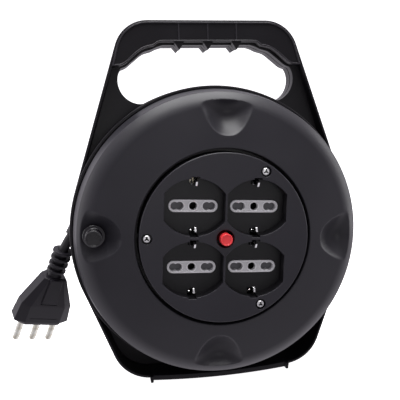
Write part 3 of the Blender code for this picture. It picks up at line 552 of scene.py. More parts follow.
def moulded_plastic(name, colour, roughness, grain=0.12, variation=0.15, specular=0.5, sunk=None):
    """Injection-moulded plastic: fine grain, cloudy colour and gloss, and sparse dust.

    sunk is a depth in millimetres and the factor by which what lies behind it is darker: painted shade in recesses
    and holes.
    """
    material, tree, shader = new_material(name)
    shader.inputs["Specular IOR Level"].default_value = specular
    place = node(tree, "ShaderNodeTexCoord").outputs["Object"]
    cloud = noise(tree, place, 22.0, 5.0)
    grains = noise(tree, place, 2600.0, 2.0)
    specks = noise(tree, place, 900.0, 3.0, 0.7)
    base = blended(tree, ranged(tree, cloud, 0.3, 0.7, 0.0, 1.0), shaded(colour, 1 - variation),
                   shaded(colour, 1 + variation))
    dust = ranged(tree, specks, 0.70, 0.80, 0.0, 0.25)
    base = blended(tree, dust, base, shaded(colour, 2.6))
    # Painted shade: a darker colour on the faces behind the sunk depth, in recesses and holes.
    if sunk:
        base = painted_depth_shade(tree, base, place, colour, sunk)
    gloss = ranged(tree, cloud, 0.25, 0.75, roughness - 0.05, roughness + 0.06)
    wire_surface(tree, shader, base, gloss, grains, grain, 0.00012)
    return material


def plated_metal(name, colour, roughness, tarnish, sunk=None):
    """Plated or bare metal with fine brushing and cloudy tarnish; sunk paints shade behind a depth, as for the
    plastic.
    """
    material, tree, shader = new_material(name)
    shader.inputs["Metallic"].default_value = 1.0
    place = node(tree, "ShaderNodeTexCoord").outputs["Object"]
    stretch = node(tree, "ShaderNodeMapping")
    stretch.inputs["Scale"].default_value = (1.0, 0.08, 1.0)
    tree.links.new(place, stretch.inputs["Vector"])
    brushing = noise(tree, stretch.outputs["Vector"], 3000.0, 3.0)
    cloud = noise(tree, place, 260.0, 5.0)
    base = blended(tree, ranged(tree, cloud, 0.4, 0.75, 0.0, 1.0), colour, tarnish)
    # Painted shade: a darker colour on the faces behind the sunk depth, in recesses and holes.
    if sunk:
        base = painted_depth_shade(tree, base, place, colour, sunk)
    gloss = ranged(tree, brushing, 0.2, 0.8, roughness - 0.07, roughness + 0.12)
    wire_surface(tree, shader, base, gloss, brushing, 0.08, 0.0001)
    return material


def make_materials():
    """Materials named after the slots they belong to, and variants for single pieces; some paint shade into
    recesses and one paints highlights on raised lines.
    """
    return {
        "frame_plastic": moulded_plastic("frame_black", (0.0050, 0.0040, 0.0062), 0.40, specular=0.34),
        # Painted highlight: a lighter, glossier copy of the frame plastic for the handle cover's raised border
        # bead and ribs.
        "bead": moulded_plastic("frame_bead_painted_highlight", (0.0240, 0.0215, 0.0270), 0.30, specular=0.6),
        "ring_plastic": moulded_plastic("ring_charcoal", (0.0190, 0.0180, 0.0232), 0.40, variation=0.06),
        # Painted shade: the panel's recesses, screw seats and button hole, deeper than 1 mm, darken to 0.22 of the
        # panel colour.
        "panel_plastic": moulded_plastic("panel_dark_painted_recess_shade", (0.0165, 0.0152, 0.0215), 0.44, variation=0.08,
                                 sunk=(1.0, 0.22)),
        "black_plastic": moulded_plastic("black_plastic", (0.0080, 0.0070, 0.0095), 0.42),
        "knob": moulded_plastic("knob_black", (0.0070, 0.0062, 0.0085), 0.20, grain=0.06, specular=0.8),
        "cord_jacket": moulded_plastic("cord_jacket", (0.0120, 0.0110, 0.0135), 0.50, grain=0.2),
        "plug": moulded_plastic("plug_black", (0.0130, 0.0112, 0.0158), 0.42, grain=0.2, specular=0.36),
        # Painted shade: the strips' sunk pockets and pin holes, deeper than 9.12 mm, darken to 0.8 of the grey.
        "light_grey_plastic": moulded_plastic("strip_grey_painted_hole_shade", (0.97, 0.97, 0.98), 0.36, variation=0.02,
                                              sunk=(9.12, 0.8)),
        "shutter_plastic": moulded_plastic("shutter_grey", (0.16, 0.16, 0.17), 0.42, variation=0.1),
        "white_plastic": moulded_plastic("white_plastic", (0.72, 0.72, 0.69), 0.42, variation=0.04),
        "nylon": moulded_plastic("nylon", (0.62, 0.60, 0.54), 0.45, variation=0.05),
        "red_plastic": moulded_plastic("button_red", (0.97, 0.055, 0.062), 0.30, variation=0.05),
        "screw_steel": plated_metal("zinc_steel", (0.96, 0.96, 0.97), 0.24, (0.80, 0.80, 0.82)),
        # Painted shade: the panel screws' driver recesses, and the parts of their heads deeper than 1 mm, turn
        # nearly black.
        "screw": plated_metal("bright_screw_painted_recess_shade", (0.98, 0.98, 0.98), 0.3, (0.92, 0.92, 0.93), sunk=(1.0, 0.03)),
        "pin_metal": plated_metal("nickel_pin", (0.86, 0.87, 0.79), 0.16, (0.60, 0.57, 0.45)),
        "contact_brass": plated_metal("contact_brass", (0.86, 0.80, 0.66), 0.25, (0.60, 0.52, 0.36)),
        "clip": plated_metal("nickel_clip", (0.90, 0.90, 0.90), 0.22, (0.72, 0.72, 0.72)),
    }


# ---------------------------------------------------------------- stage

def build_camera():
    camera = bpy.data.cameras.new("camera")
    camera.sensor_width = 36.0
    camera.lens = CAMERA_LENS
    turn = (Matrix.Rotation(CAMERA_YAW, 3, "Z") @ Matrix.Rotation(CAMERA_PITCH, 3, "X")
            @ Matrix.Rotation(CAMERA_ROLL, 3, "Y"))
    axes = Matrix((turn.col[0], turn.col[2], -turn.col[1])).transposed().to_4x4()
    place = Matrix.Translation(AXIS_M + Vector(CAMERA_OFFSET) * MM) @ axes
    bpy.context.scene.camera = placed("camera", camera, place)


def build_backdrop():
    """Round pale floor that curves up into a wall all round; it keeps its light off the object."""
    material, _, shader = new_material("studio_paper")
    shader.inputs["Base Color"].default_value = (0.9, 0.9, 0.9, 1.0)
    shader.inputs["Roughness"].default_value = 0.9
    shader.inputs["Specular IOR Level"].default_value = 0.1
    shader.inputs["Emission Color"].default_value = (1.0, 1.0, 1.0, 1.0)
    shader.inputs["Emission Strength"].default_value = 1.0
    profile_m = [(0.0, 0.0), *arc(2.4, 1.0, 1.0, -90, 0, 16), (3.4, 4.0), (0.0, 5.0)]
    bm = bmesh.new()
    skin(bm, [[bm.verts.new((x, y, z)) for x, y in circle(radius)] for radius, z in profile_m])
    bmesh.ops.remove_doubles(bm, verts=bm.verts, dist=1e-5)
    bmesh.ops.recalc_face_normals(bm, faces=bm.faces)
    bmesh.ops.reverse_faces(bm, faces=bm.faces)
    mesh = bpy.data.meshes.new("backdrop")
    bm.to_mesh(mesh)
    bm.free()
    mesh.shade_smooth()
    mesh.materials.append(material)
    backdrop = placed("backdrop", mesh, Matrix())
    backdrop.visible_diffuse = False
    backdrop.visible_glossy = False
    backdrop.visible_shadow = False


def softbox(name, place, target, width, height, power):
    light = bpy.data.lights.new(name, "AREA")
    light.shape = "RECTANGLE"
    light.size = width
    light.size_y = height
    light.energy = power
    aim = (Vector(target) - Vector(place)).to_track_quat("-Z", "Y").to_matrix().to_4x4()
    placed(name, light, Matrix.Translation(place) @ aim)


def build_world():
    """Soft room light: pale all round and behind, darker in front, a little brighter from the floor."""
    world = bpy.data.worlds.new("studio")
    world.use_nodes = True
    tree = world.node_tree
    background = tree.nodes["Background"]
    background.inputs["Color"].default_value = (1.0, 0.955, 1.04, 1.0)
    split = node(tree, "ShaderNodeSeparateXYZ")
    tree.links.new(node(tree, "ShaderNodeTexCoord").outputs["Generated"], split.inputs["Vector"])
    around = ranged(tree, split.outputs["Y"], -0.9, 0.05, 0.2, 0.85)
    total = node(tree, "ShaderNodeMath", operation="ADD")
    tree.links.new(around, total.inputs[0])
    tree.links.new(ranged(tree, split.outputs["Z"], -0.8, -0.25, 0.16, 0.0), total.inputs[1])
    tree.links.new(total.outputs[0], background.inputs["Strength"])
    bpy.context.scene.world = world


def build_lights():
    build_world()
    bpy.context.scene.view_settings.view_transform = "Standard"
    softbox("overhead", (0.0, -0.15, 1.2), (0.0, 0.0, 0.1), 1.0, 0.8, 15.0)
    softbox("front", (0.1, -1.6, 0.12), (0.0, 0.0, 0.08), 1.0, 0.3, 1.5)
    for name, x in (("left_strip", -1.3), ("right_strip", 1.3)):
        softbox(name, (x, 0.1, 0.35), (0.0, 0.0, 0.12), 0.3, 1.0, 3.0)


# ---------------------------------------------------------------- cord and plug

def plug_matrix():
    along = Vector(PLUG_AXIS).normalized()
    row = Vector(PLUG_ROW)
    row = (row - row.dot(along) * along).normalized()
    face = row.cross(along)
    turn = Matrix((row, along, face)).transposed().to_4x4()
    return FRAME @ Matrix.Translation(Vector(PLUG_ORIGIN) * MM) @ turn


def tube(name, points, radius, matrix, resolution):
    """A round cord as a curve with filled ends."""
    curve = bpy.data.curves.new(name, "CURVE")
    curve.dimensions = "3D"
    curve.bevel_depth = radius * MM
    curve.bevel_resolution = resolution
    curve.use_fill_caps = True
    spline = curve.splines.new("POLY")
    spline.points.add(len(points) - 1)
    for target, point in zip(spline.points, points):
        target.co = (*(Vector(point) * MM), 1.0)
    spline.use_smooth = True
    return placed(name, curve, matrix)


def path_length(points):
    return sum((Vector(b) - Vector(a)).length for a, b in zip(points, points[1:]))


def build_cord(looks):
    route = smooth_path(CORD_ROUTE, 4)
    tail = tube("cord_tail_soft", route, CORD_DIAMETER / 2, FRAME, 8)
    finish_piece(tail, looks, "frame", "cord_jacket", "cord_tail")
    path_length(route) * MM


def winding_route():
    """The wound cord: layers of turns, each layer running back over the one below it."""
    points = []
    for layer in range(COIL_LAYERS):
        radius = COIL_FIRST_RADIUS + COIL_PITCH * layer
        for step in range(COIL_TURNS * COIL_POINTS):
            part = step / (COIL_TURNS * COIL_POINTS)
            along = part if layer % 2 == 0 else 1 - part
            climb = max(0.0, (part - 0.96) / 0.04)
            angle = 2 * math.pi * step / COIL_POINTS
            reach = radius + COIL_PITCH * climb * (layer < COIL_LAYERS - 1)
            y = COIL_START_Y + along * COIL_PITCH * (COIL_TURNS - 1)
            points.append((reach * math.cos(angle), y, reach * math.sin(angle)))
    return points


def build_winding(looks):
    coil = tube("wound_cord", winding_route(), CORD_DIAMETER / 2 - 0.05, DRUM, 3)
    finish_piece(coil, looks, "drum", "cord_jacket", "cord_winding")


def build_relief(looks):
    """Strain relief: a tapered core with four rings, flattened like the cord's outlet on the plug."""
    profile = [(3.7, -0.6)]
    for index in range(4):
        start = 0.2 + index * 5.4
        rim = 7.6 - 0.15 * index
        core = 4.1 + 0.2 * index
        ring = [(core, start), (rim, start), (rim, start + 2.1), (core + 0.1, start + 2.1)]
        profile += rounded(ring, [0.3, 0.5, 0.5, 0.3], 4)
    profile += [(5.6, RELIEF_LENGTH), (2.4, RELIEF_LENGTH), (2.4, 7.0), (3.7, 7.0)]
    relief = turned("relief_sleeve", profile, plug_matrix(), 64)
    for vertex in relief.data.vertices:
        vertex.co.z *= 0.94
    return finish_piece(relief, looks, "frame", "cord_jacket", "plug_strain_relief", look="plug")


def plug_section(half_width, edge, middle, thick, steps=4):
    """Flat eight-sided section of the plug's body with softened corners."""
    corners = [(half_width, -edge), (half_width, edge), (middle, thick), (-middle, thick),
               (-half_width, edge), (-half_width, -edge), (-middle, -thick), (middle, -thick)]
    return rounded(corners, [0.7, 0.7, 0.9, 0.9] * 2, steps)


def build_plug_body(looks):
    """Flared plug body from neck to pin face, with a raised, tapered grip panel on its front and back."""
    end = RELIEF_LENGTH + PLUG_LENGTH
    # Distance along the plug, then half width, half height of the edge, half width and height of the face.
    stations = (
        (RELIEF_LENGTH + 0.2, 7.0, 4.2, 4.4, 5.6),
        (RELIEF_LENGTH + 0.9, 8.4, 4.6, 5.4, 6.6),
        (RELIEF_LENGTH + 2.0, 9.2, 4.7, 5.8, 6.9),
        (45.4, 19.1, 4.5, 13.0, 8.65),
        (46.4, 19.6, 4.6, 13.5, 8.8),
        (60.6, 21.2, 5.2, 13.5, 8.6),
        (61.3, 20.9, 5.2, 13.5, 8.55),
        (end - 0.6, 16.4, 5.1, 13.1, 7.9),
        (end, 15.4, 4.6, 12.6, 7.2),
    )
    body = lofted("plug_moulding", [[(x, y, z) for x, z in plug_section(*sizes)] for y, *sizes in stations],
                  plug_matrix(), 30)
    grip = rounded([(-4.6, 22.8), (4.6, 22.8), (6.2, 43.4), (-6.2, 43.4)], [0.8, 0.8, 0.5, 0.5], 4)
    for side in (-1, 1):
        sections = [[(x, y, side * (height + 0.07 * (y - 24.0))) for x, y in grown(grip, shrink)]
                    for height, shrink in ((4.0, 0.0), (7.9, 0.0), (8.2, -0.3), (8.3, -0.8))]
        combine(body, lofted("grip_panel", sections, plug_matrix(), 50), "UNION")
        for low, high, reach, deep in ((43.4, 44.5, 6.4, 6.6), (57.0, 57.5, 10.5, 8.35)):
            near, far = sorted((side * deep, side * 12.0))
            groove = [(-reach, near), (reach, near), (reach, far), (-reach, far)]
            combine(body, plain_prism("grip_groove", groove, low, high, plug_matrix()), "DIFFERENCE")
    return finish_piece(body, looks, "frame", "cord_jacket", "plug_body", look="plug")


def build_plug_pins(looks):
    face = RELIEF_LENGTH + PLUG_LENGTH
    pins = []
    for number, offset in enumerate((-PLUG_PIN_SPACING, 0.0, PLUG_PIN_SPACING), 1):
        tip = face + PLUG_PIN_LENGTH
        corners = [(0, face - 3.0), (PLUG_PIN_RADIUS, face - 3.0), (PLUG_PIN_RADIUS, tip), (0, tip)]
        place = plug_matrix() @ Matrix.Translation((offset * MM, 0, 0))
        pin = turned(f"pin_metal_{number}", rounded(corners, [0, 0, 1.6, 0], 8), place, 40)
        pins.append(finish_piece(pin, looks, "frame", "pin_metal", f"plug_pin_{number}"))
    return pins


# ---------------------------------------------------------------- drum

def smooth_max(a, b, width):
    near = max(width - abs(a - b), 0.0) / width
    return max(a, b) + near * near * width / 4


def cone_depth(radius):
    """Depth of the ring's shallow cone."""
    return RING_TOP_Y + CONE_SLOPE * (radius - RING_INNER_RADIUS)


def shoulder_depth(radius):
    """Depth of the ring's face: the cone, with a slope that grows steadily from the shoulder outwards."""
    out = max(0.0, radius - SHOULDER_RADIUS)
    growth = (EDGE_SLOPE - CONE_SLOPE) / (EDGE_RADIUS - SHOULDER_RADIUS)
    return cone_depth(radius) + growth * out * out / 2


def ring_radii():
    """(radius, depth) stations of the ring's outer surface, from its inner edge to its rim."""
    lip = rounded([(RING_INNER_RADIUS, 14.0), (RING_INNER_RADIUS, RING_TOP_Y), (70.0, RING_TOP_Y + 1.7)],
                  [0, 0.9, 0], 6)[:-1]
    face = []
    radius = 63.6
    while radius < EDGE_RADIUS - 1.0:
        face.append((radius, shoulder_depth(radius)))
        radius += 0.4 if radius > 68.0 else 1.0
    edge = shoulder_depth(EDGE_RADIUS)
    side = rounded([(EDGE_RADIUS - 2.0, edge - 2.0 * EDGE_SLOPE), (EDGE_RADIUS, edge),
                    (RING_RADIUS, RING_RIM_Y)], [0, 1.4, 0], 8)
    return lip + face + side[1:]


def scoop_depth(radius, angle):
    """Depth of the nearest thumb scoop's bowl below the cone at this place, or 0 outside the scoops."""
    quarter = round(angle / (math.pi / 2)) * math.pi / 2
    side = radius * math.sin(angle - quarter)
    holds_knob = math.cos(quarter) < -0.5
    outer_reach = SCOOP_REACH if holds_knob else SCOOP_OUTER_REACH
    if not SCOOP_TIP_RADIUS < radius < SCOOP_CENTRE + outer_reach:
        return 0.0
    widening = min(1.0, (radius - SCOOP_TIP_RADIUS) / (SCOOP_WIDE_RADIUS - SCOOP_TIP_RADIUS))
    half_width = SCOOP_HALF_WIDTH * widening**SCOOP_WIDENING
    along = 1 - ((radius - SCOOP_CENTRE) / (SCOOP_REACH if radius < SCOOP_CENTRE else outer_reach)) ** 2
    return max(0.0, SCOOP_DEPTH * along * (1 - (side / half_width) ** 2))


def build_ring(looks):
    """Round front ring as a shell with four thumb scoops."""
    outer = ring_radii()
    inner = [(RING_RADIUS - 0.3, RING_RIM_Y), (RING_RADIUS - RING_WALL, RING_RIM_Y),
             (RING_RADIUS - RING_WALL, 21.6)]
    for radius in (100.8, *range(100, 67, -2)):
        thicker = 6.0 * max(0.0, (radius - 92.0) / 11.0) ** 2
        inner.append((radius, cone_depth(radius) + RING_WALL + 0.8 + thicker))
    inner += [(64.4, 6.2), (64.4, 14.0)]

    def depth_at(station, radius, y, angle):
        if not 66.0 < radius < 102.0:
            return y
        bowl = scoop_depth(radius, angle)
        if station >= len(outer):
            return max(y, cone_depth(radius) + bowl + RING_WALL)
        return smooth_max(y, cone_depth(radius) + bowl, SCOOP_EDGE) if bowl > 0 else y

    ring = rippled("ring_shell", outer + inner, DRUM, depth_at, 50)
    finish_piece(ring, looks, "drum", "ring_plastic", "front_ring")


def recess_chains():
    """The recess outline's two side chains between the notches, and the crossing height at the notches."""
    sagitta = RECESS_HALF_HEIGHT - RECESS_FLAT_HALF
    radius = (RECESS_HALF_WIDTH**2 + sagitta**2) / (2 * sagitta)
    centre = radius - RECESS_HALF_HEIGHT
    crossing = math.sqrt(radius**2 - NOTCH_HALF_WIDTH**2) - centre
    start = math.degrees(math.asin(NOTCH_HALF_WIDTH / radius))
    end = math.degrees(math.asin(RECESS_HALF_WIDTH / radius))
    right = arc(0, -centre, radius, 90 - start, 90 - end, 20)
    right += arc(0, centre, radius, -90 + end, -90 + start, 20)
    return right, mirrored(right), crossing


def build_panel(looks):
    """Socket panel with rounded edges, four recesses with floors, screw seats and the button's hole."""
    shell = Shell()
    back = RECESS_DEPTH + FLOOR_WALL
    rim = hole_levels(0.0, 0.5, 4)
    outer = circle(PANEL_RADIUS, 192)
    shell.walls(outer, [*fillet_levels(0.0, PANEL_FILLET, 6), (12.0, 0.0), (12.0, -PANEL_BACK_INSET),
                        (back, -PANEL_BACK_INSET)])
    front_holes = []
    back_holes = []
    right, left, crossing = recess_chains()
    for x, z in socket_places():
        notches = {}
        for side in (-1, 1):
            half, edge = side * NOTCH_HALF_WIDTH, side * crossing
            notches[side] = [[(-half, edge), (-half, side * end), (half, side * end), (half, edge)]
                             for end in (NOTCH_OUTER, NOTCH_INNER)]
        loop, floor = (moved(right + notches[-1][k][1:-1] + left + notches[1][k][1:-1], x, z) for k in (0, 1))
        shell.walls(loop, rim)
        for chain in (right, left):
            shell.ribbon(moved(chain, x, z), (rim[-1][0], RECESS_DEPTH))
        for out, near in notches.values():
            shell.ribbon(moved(out, x, z), (rim[-1][0], RECESS_DEPTH, back))
            shell.ribbon(moved(near, x, z), (RECESS_DEPTH, back))
            back_holes.append(moved([*out, *near[1:-1][::-1]], x, z))
        slot = stadium(STRIP_HALF_LENGTH + 0.3, STRIP_HALF_HEIGHT + 0.3, 12, x, z)
        shell.cap(RECESS_DEPTH, floor, [slot])
        shell.strip(slot, RECESS_DEPTH, slot, back)
        front_holes.append(grown(loop, rim[0][1]))
        back_holes.append(slot)
    for x, z in screw_places():
        seat = circle(SCREW_SEAT_RADIUS, 40, x, z)
        hole = circle(SCREW_HOLE_RADIUS, 40, x, z)
        shell.walls(seat, [*hole_levels(0.0, 0.3, 3), (SCREW_SEAT_DEPTH, 0.0)])
        shell.strip(seat, SCREW_SEAT_DEPTH, hole, SCREW_SEAT_DEPTH)
        shell.strip(hole, SCREW_SEAT_DEPTH, hole, back)
        front_holes.append(grown(seat, 0.3))
        back_holes.append(hole)
    button = circle(BUTTON_HOLE_RADIUS, 64)
    shell.walls(button, [*rim, (back, 0.0)])
    front_holes.append(grown(button, rim[0][1]))
    back_holes.append(button)
    shell.cap(0.0, grown(outer, -PANEL_FILLET), front_holes)
    shell.cap(back, grown(outer, -PANEL_BACK_INSET), back_holes)
    panel = shell.finish("panel_face", DRUM, 35)
    # The panel material paints shade into the recesses, screw seats and button hole.
    finish_piece(panel, looks, "drum", "panel_plastic", "socket_panel")


def screw_places():
    turns = [math.radians(angle) for angle in SCREW_ANGLES]
    return [(SCREW_CIRCLE_RADIUS * math.cos(t), SCREW_CIRCLE_RADIUS * math.sin(t)) for t in turns]


def socket_places():
    return [(x, z) for z in (SOCKET_Z, -SOCKET_Z) for x in (-SOCKET_X, SOCKET_X)]


def pin_hole_outline(side):
    """Two pin holes that run into each other, for both pin spacings."""
    near, far = (spacing / 2 for spacing in PIN_SPACINGS)
    half = math.degrees(math.acos((far - near) / 2 / PIN_HOLE_RADIUS))
    outer = arc(far, 0, PIN_HOLE_RADIUS, half - 180, 180 - half, 20)
    inner = arc(near, 0, PIN_HOLE_RADIUS, half, 360 - half, 20)
    loop = outer[1:-1] + inner
    return loop if side > 0 else mirrored(loop)


def pocket_outline(side):
    """The sunk field between the earth hole and the pin holes, bounded by their raised rims."""
    reach = PIN_HOLE_RADIUS + 0.85
    near = PIN_SPACINGS[0] / 2
    half = math.degrees(math.asin(3.35 / reach))
    loop = arc(0, 0, reach, -half, half, 10) + arc(near, 0, reach, 180 - half, 180 + half, 10)
    return loop if side > 0 else mirrored(loop)


def build_inserts(looks):
    """Light strips with raised rims round their outline, earth hole and joined pin holes."""
    for number, (x, z) in enumerate(socket_places(), 1):
        shell = Shell()
        front = RECESS_DEPTH - STRIP_PROUD
        back = RECESS_DEPTH + FLOOR_WALL + 1.5
        strip = moved(stadium(STRIP_HALF_LENGTH, STRIP_HALF_HEIGHT), x, z)
        shell.walls(strip, [*fillet_levels(front, 0.35, 3), (back, 0.0)])
        front_holes = []
        back_holes = []
        for hole in (circle(PIN_HOLE_RADIUS, 40), pin_hole_outline(1), pin_hole_outline(-1)):
            loop = moved(hole, x, z)
            shell.walls(loop, [*hole_levels(front, 0.3, 3), (back, 0.0)])
            front_holes.append(grown(loop, 0.3))
            back_holes.append(loop)
        for side in (-1, 1):
            loop = moved(pocket_outline(side), x, z)
            shell.walls(loop, [(front, 0.0), (front + 0.15, -0.1), (front + POCKET_DEPTH, -0.2)])
            shell.cap(front + POCKET_DEPTH, grown(loop, -0.2))
            front_holes.append(loop)
        shell.cap(front, grown(strip, -0.35), front_holes)
        shell.cap(back, strip, back_holes)
        piece = shell.finish(f"outlet_strip_{number}", DRUM, 40)
        # The strip material paints shade into the sunk pockets and pin holes.
        finish_piece(piece, looks, "drum", "light_grey_plastic", f"socket_insert_{number}")


def build_button(looks):
    """Push button with a raised rim round its face."""
    face = -BUTTON_PROUD
    corners = [(0, face + 0.35), (BUTTON_RADIUS - 1.1, face + 0.35), (BUTTON_RADIUS - 0.8, face),
               (BUTTON_RADIUS, face), (BUTTON_RADIUS, 12.8), (0, 12.8)]
    profile = rounded(corners, [0, 0.25, 0.2, 0.55, 0, 0], 5)
    button = turned("button_cap", profile, DRUM, 64)
    finish_piece(button, looks, "reset_button", "red_plastic", "reset_button")


def build_knob(looks):
    """Winding knob: a hollow-faced cap on a waist and a base flange."""
    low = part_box("knob")[0].y / MM - AXIS_M.y / MM
    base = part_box("knob")[1].y / MM - AXIS_M.y / MM
    corners = [(0, low + 1.3), (4.5, low + 1.3), (4.7, low), (5.75, low), (5.2, low + 6.0), (5.4, base - 2.4),
               (7.7, base - 1.6), (7.7, base), (2.4, base), (2.4, low + 4.0), (0, low + 4.0)]
    profile = rounded(corners, [0, 0.3, 0.25, 0.4, 3.0, 1.2, 0.6, 0, 0, 0, 0], 5)
    place = Matrix.Translation(KNOB_AXIS_M) @ Matrix.Rotation(DRUM_ANGLE, 4, "Y")
    knob = turned("knob_cap", profile, place, 72)
    finish_piece(knob, looks, "knob", "black_plastic", "knob", look="knob")


def lobes(reach):
    """Outline of a three-lobed driver recess."""
    points = []
    for k in range(3):
        middle = 90 + 120 * k
        points += arc(0, 0, reach, middle - 15, middle + 15, 3)
        points += arc(0, 0, reach * 0.42, middle + 48, middle + 72, 2)
    return points


def build_panel_screws(looks):
    """Pan heads with a three-lobed recess, sunk in their seats."""
    for number, (x, z) in enumerate(screw_places(), 1):
        place = DRUM @ Matrix.Translation((x * MM, 0, z * MM))
        corners = [(0, 0.1), (1.9, 0.1), (2.6, 0.7), (2.6, 2.4), (1.3, 2.4), (1.3, 22.0), (0, 22.0)]
        screw = turned(f"screw_head_{number}", rounded(corners, [0, 0.5, 0.3, 0, 0, 0, 0], 4), place, 40)
        combine(screw, plain_prism("recess", lobes(DRIVER_REACH), -0.6, 1.9, place), "DIFFERENCE")
        # The screw look paints the driver recess nearly black as shade.
        finish_piece(screw, looks, "drum", "screw_steel", f"panel_screw_{number}", look="screw")


def bent_strip(path, thickness):
    """Outline of a strip of even thickness that follows a path."""
    half = thickness / 2
    sides = ([], [])
    for i, here in enumerate(path):
        before = Vector(path[max(i - 1, 0)])
        after = Vector(path[min(i + 1, len(path) - 1)])
        along = (after - before).normalized()
        across = Vector((-along.y, along.x)) * half
        sides[0].append(tuple(Vector(here) + across))
        sides[1].append(tuple(Vector(here) - across))
    return sides[0] + sides[1][::-1]


def build_earth_clips(looks):
    """Sprung earth contacts: a wide and a narrow bent prong in each notch, with their ends spread."""
    across = Matrix.Rotation(math.radians(90), 4, "Z")
    wide = ((12.5, 18.6), (9.0, 18.3), (6.8, 16.6), (5.6, 14.8), (5.0, 14.3), (4.5, 14.8), (3.0, 17.3))
    narrow = ((12.5, 18.6), (9.0, 18.3), (7.4, 17.2), (6.4, 16.0), (6.0, 15.8), (5.6, 16.2))
    for column, x in enumerate((-SOCKET_X, SOCKET_X), 1):
        prongs = []
        for socket_z in (SOCKET_Z, -SOCKET_Z):
            for side in (-1, 1):
                for knots, offset, half_width in ((narrow, -1.9, 0.45), (wide, 1.2, 0.65)):
                    bend = [(y, socket_z + side * z) for y, z in flat_curve(knots, 4)]
                    place = DRUM @ Matrix.Translation(((x + offset) * MM, 0, 0)) @ across
                    prongs.append(moulded(f"prong_{column}", bent_strip(bend, 0.5), -half_width, half_width,
                                          0.15, place, 0.15, steps=2))
        finish_piece(gather(prongs), looks, "drum", "contact_brass", f"earth_strap_{column}", look="clip")


# ---------------------------------------------------------------- frame

def frame_outline():
    """The frame seen from the front: straight sides that touch the round housing."""
    upper_reach = HOUSING_RADIUS * math.hypot(1, UPPER_SIDE_SLOPE)
    lower_reach = HOUSING_RADIUS * math.hypot(1, LOWER_SIDE_SLOPE)
    top_x = upper_reach - UPPER_SIDE_SLOPE * HANDLE_TOP
    bottom_x = lower_reach + LOWER_SIDE_SLOPE * FRAME_BOTTOM
    middle_z = (upper_reach - lower_reach) / (UPPER_SIDE_SLOPE + LOWER_SIDE_SLOPE)
    middle_x = upper_reach - UPPER_SIDE_SLOPE * middle_z
    right = [(bottom_x, FRAME_BOTTOM), (middle_x, middle_z), (top_x, HANDLE_TOP)]
    radii = [BOTTOM_CORNER_RADIUS, HOUSING_RADIUS, TOP_CORNER_RADIUS]
    return rounded(right + mirrored(right), radii + radii[::-1], 20)


def handle_curve():
    """Left half of the grip's underside, from the end of the opening to where the grip is level."""
    knots = ((-64.3, 120.7), (-60.0, 122.5), (-54.0, 127.3), (-47.5, 132.2), (-41.0, 134.3), (-37.0, 136.1),
             (-GRIP_HALF_LENGTH, GRIP_Z))
    return flat_curve(knots, 5)


def grip_ribs(z, half_width, depth):
    """The three triangular finger ribs under the grip, left to right, with softened tips."""
    points = []
    for centre in GRIP_RIB_PLACES:
        points += [(centre - half_width, z), (centre - 0.35, z - depth + 0.3), (centre, z - depth),
                   (centre + 0.35, z - depth + 0.3), (centre + half_width, z)]
    return points


def opening_outline():
    """The hand opening between the handle and the round housing."""
    corner = math.degrees(math.atan2(OPENING_END_Z - OPENING_END_RADIUS, OPENING_END_X))
    left = arc(0, 0, OPENING_BOTTOM_RADIUS, 90, 180 - corner - 0.5, 20)
    left += arc(-OPENING_END_X, OPENING_END_Z, OPENING_END_RADIUS, 265, 158, 24)
    left += handle_curve()
    return left + grip_ribs(GRIP_Z, GRIP_RIB_HALF_WIDTH, GRIP_RIB_DEPTH) + mirrored(left[1:])


def front_leaning(y):
    """Depth of a front edge that leans back towards the top."""
    return lambda z: y + FRAME_FRONT_LEAN * z


def build_front_moulding(looks):
    """Front of the frame: rounded rim, sunk web, opening, round wall and foot."""
    shell = Shell()
    outline = frame_outline()
    opening = opening_outline()
    inner = circle((WALL_RADIUS + HOUSING_INNER_RADIUS) / 2, 180)
    seam = SEAM_Y - 0.1
    shell.strip(grown(outline, -SEAM_GROOVE), seam, outline, seam - SEAM_GROOVE)
    edge = [(-y, x) for x, y in rounded([(0, -4.0), (0, 0), (-RIM_WIDTH, 0), (-RIM_WIDTH, -4.0)],
                                        [0, 0.9, 0.45, 0], 5)]
    front = [(front_leaning(FRAME_FRONT_Y + depth), grow) for depth, grow in edge]
    levels = [(seam - SEAM_GROOVE, 0.0), *front, (WEB_Y - 0.5, -RIM_WIDTH), (WEB_Y, -RIM_WIDTH - 0.5)]
    shell.walls(outline, levels)
    lip = hole_levels(WEB_Y, 0.5, 4)
    shell.walls(opening, [*lip, (seam - SEAM_GROOVE, 0.0), (seam, SEAM_GROOVE)])
    shell.strip(inner, WEB_Y, inner, seam)
    shell.cap(WEB_Y, grown(outline, -RIM_WIDTH - 0.5), [inner, grown(opening, lip[0][1])])
    shell.cap(seam, grown(outline, -SEAM_GROOVE), [inner, grown(opening, SEAM_GROOVE)])
    body = shell.finish("front_moulding", FRAME, 40)
    wall = [(HOUSING_INNER_RADIUS, HOUSING_FRONT_Y), (WALL_RADIUS, HOUSING_FRONT_Y), (WALL_RADIUS, 41.0),
            (WALL_RADIUS + 0.25, 41.4), (WALL_RADIUS + 0.25, seam - 0.3), (WALL_RADIUS - 0.3, seam),
            (HOUSING_INNER_RADIUS, seam)]
    cup = turned("front_wall", rounded(wall, [0.4, 0.7, 0, 0, 0, 0, 0], 4), FRAME, 240)
    rise = FOOT_END_Y - FOOT_FRONT_Y
    radius = (FOOT_HALF_LENGTH**2 + rise**2) / (2 * rise)
    half = math.degrees(math.asin(FOOT_HALF_LENGTH / radius))
    plan = [*arc(0, FOOT_FRONT_Y + radius, radius, 270 - half, 270 + half, 24),
            (FOOT_HALF_LENGTH, seam), (-FOOT_HALF_LENGTH, seam)]
    foot = foot_pieces("front", plan, FOOT_END_Y - 1.0, seam)
    return finish_piece(gather([body, cup, *foot]), looks, "frame", "frame_plastic", "front_frame")


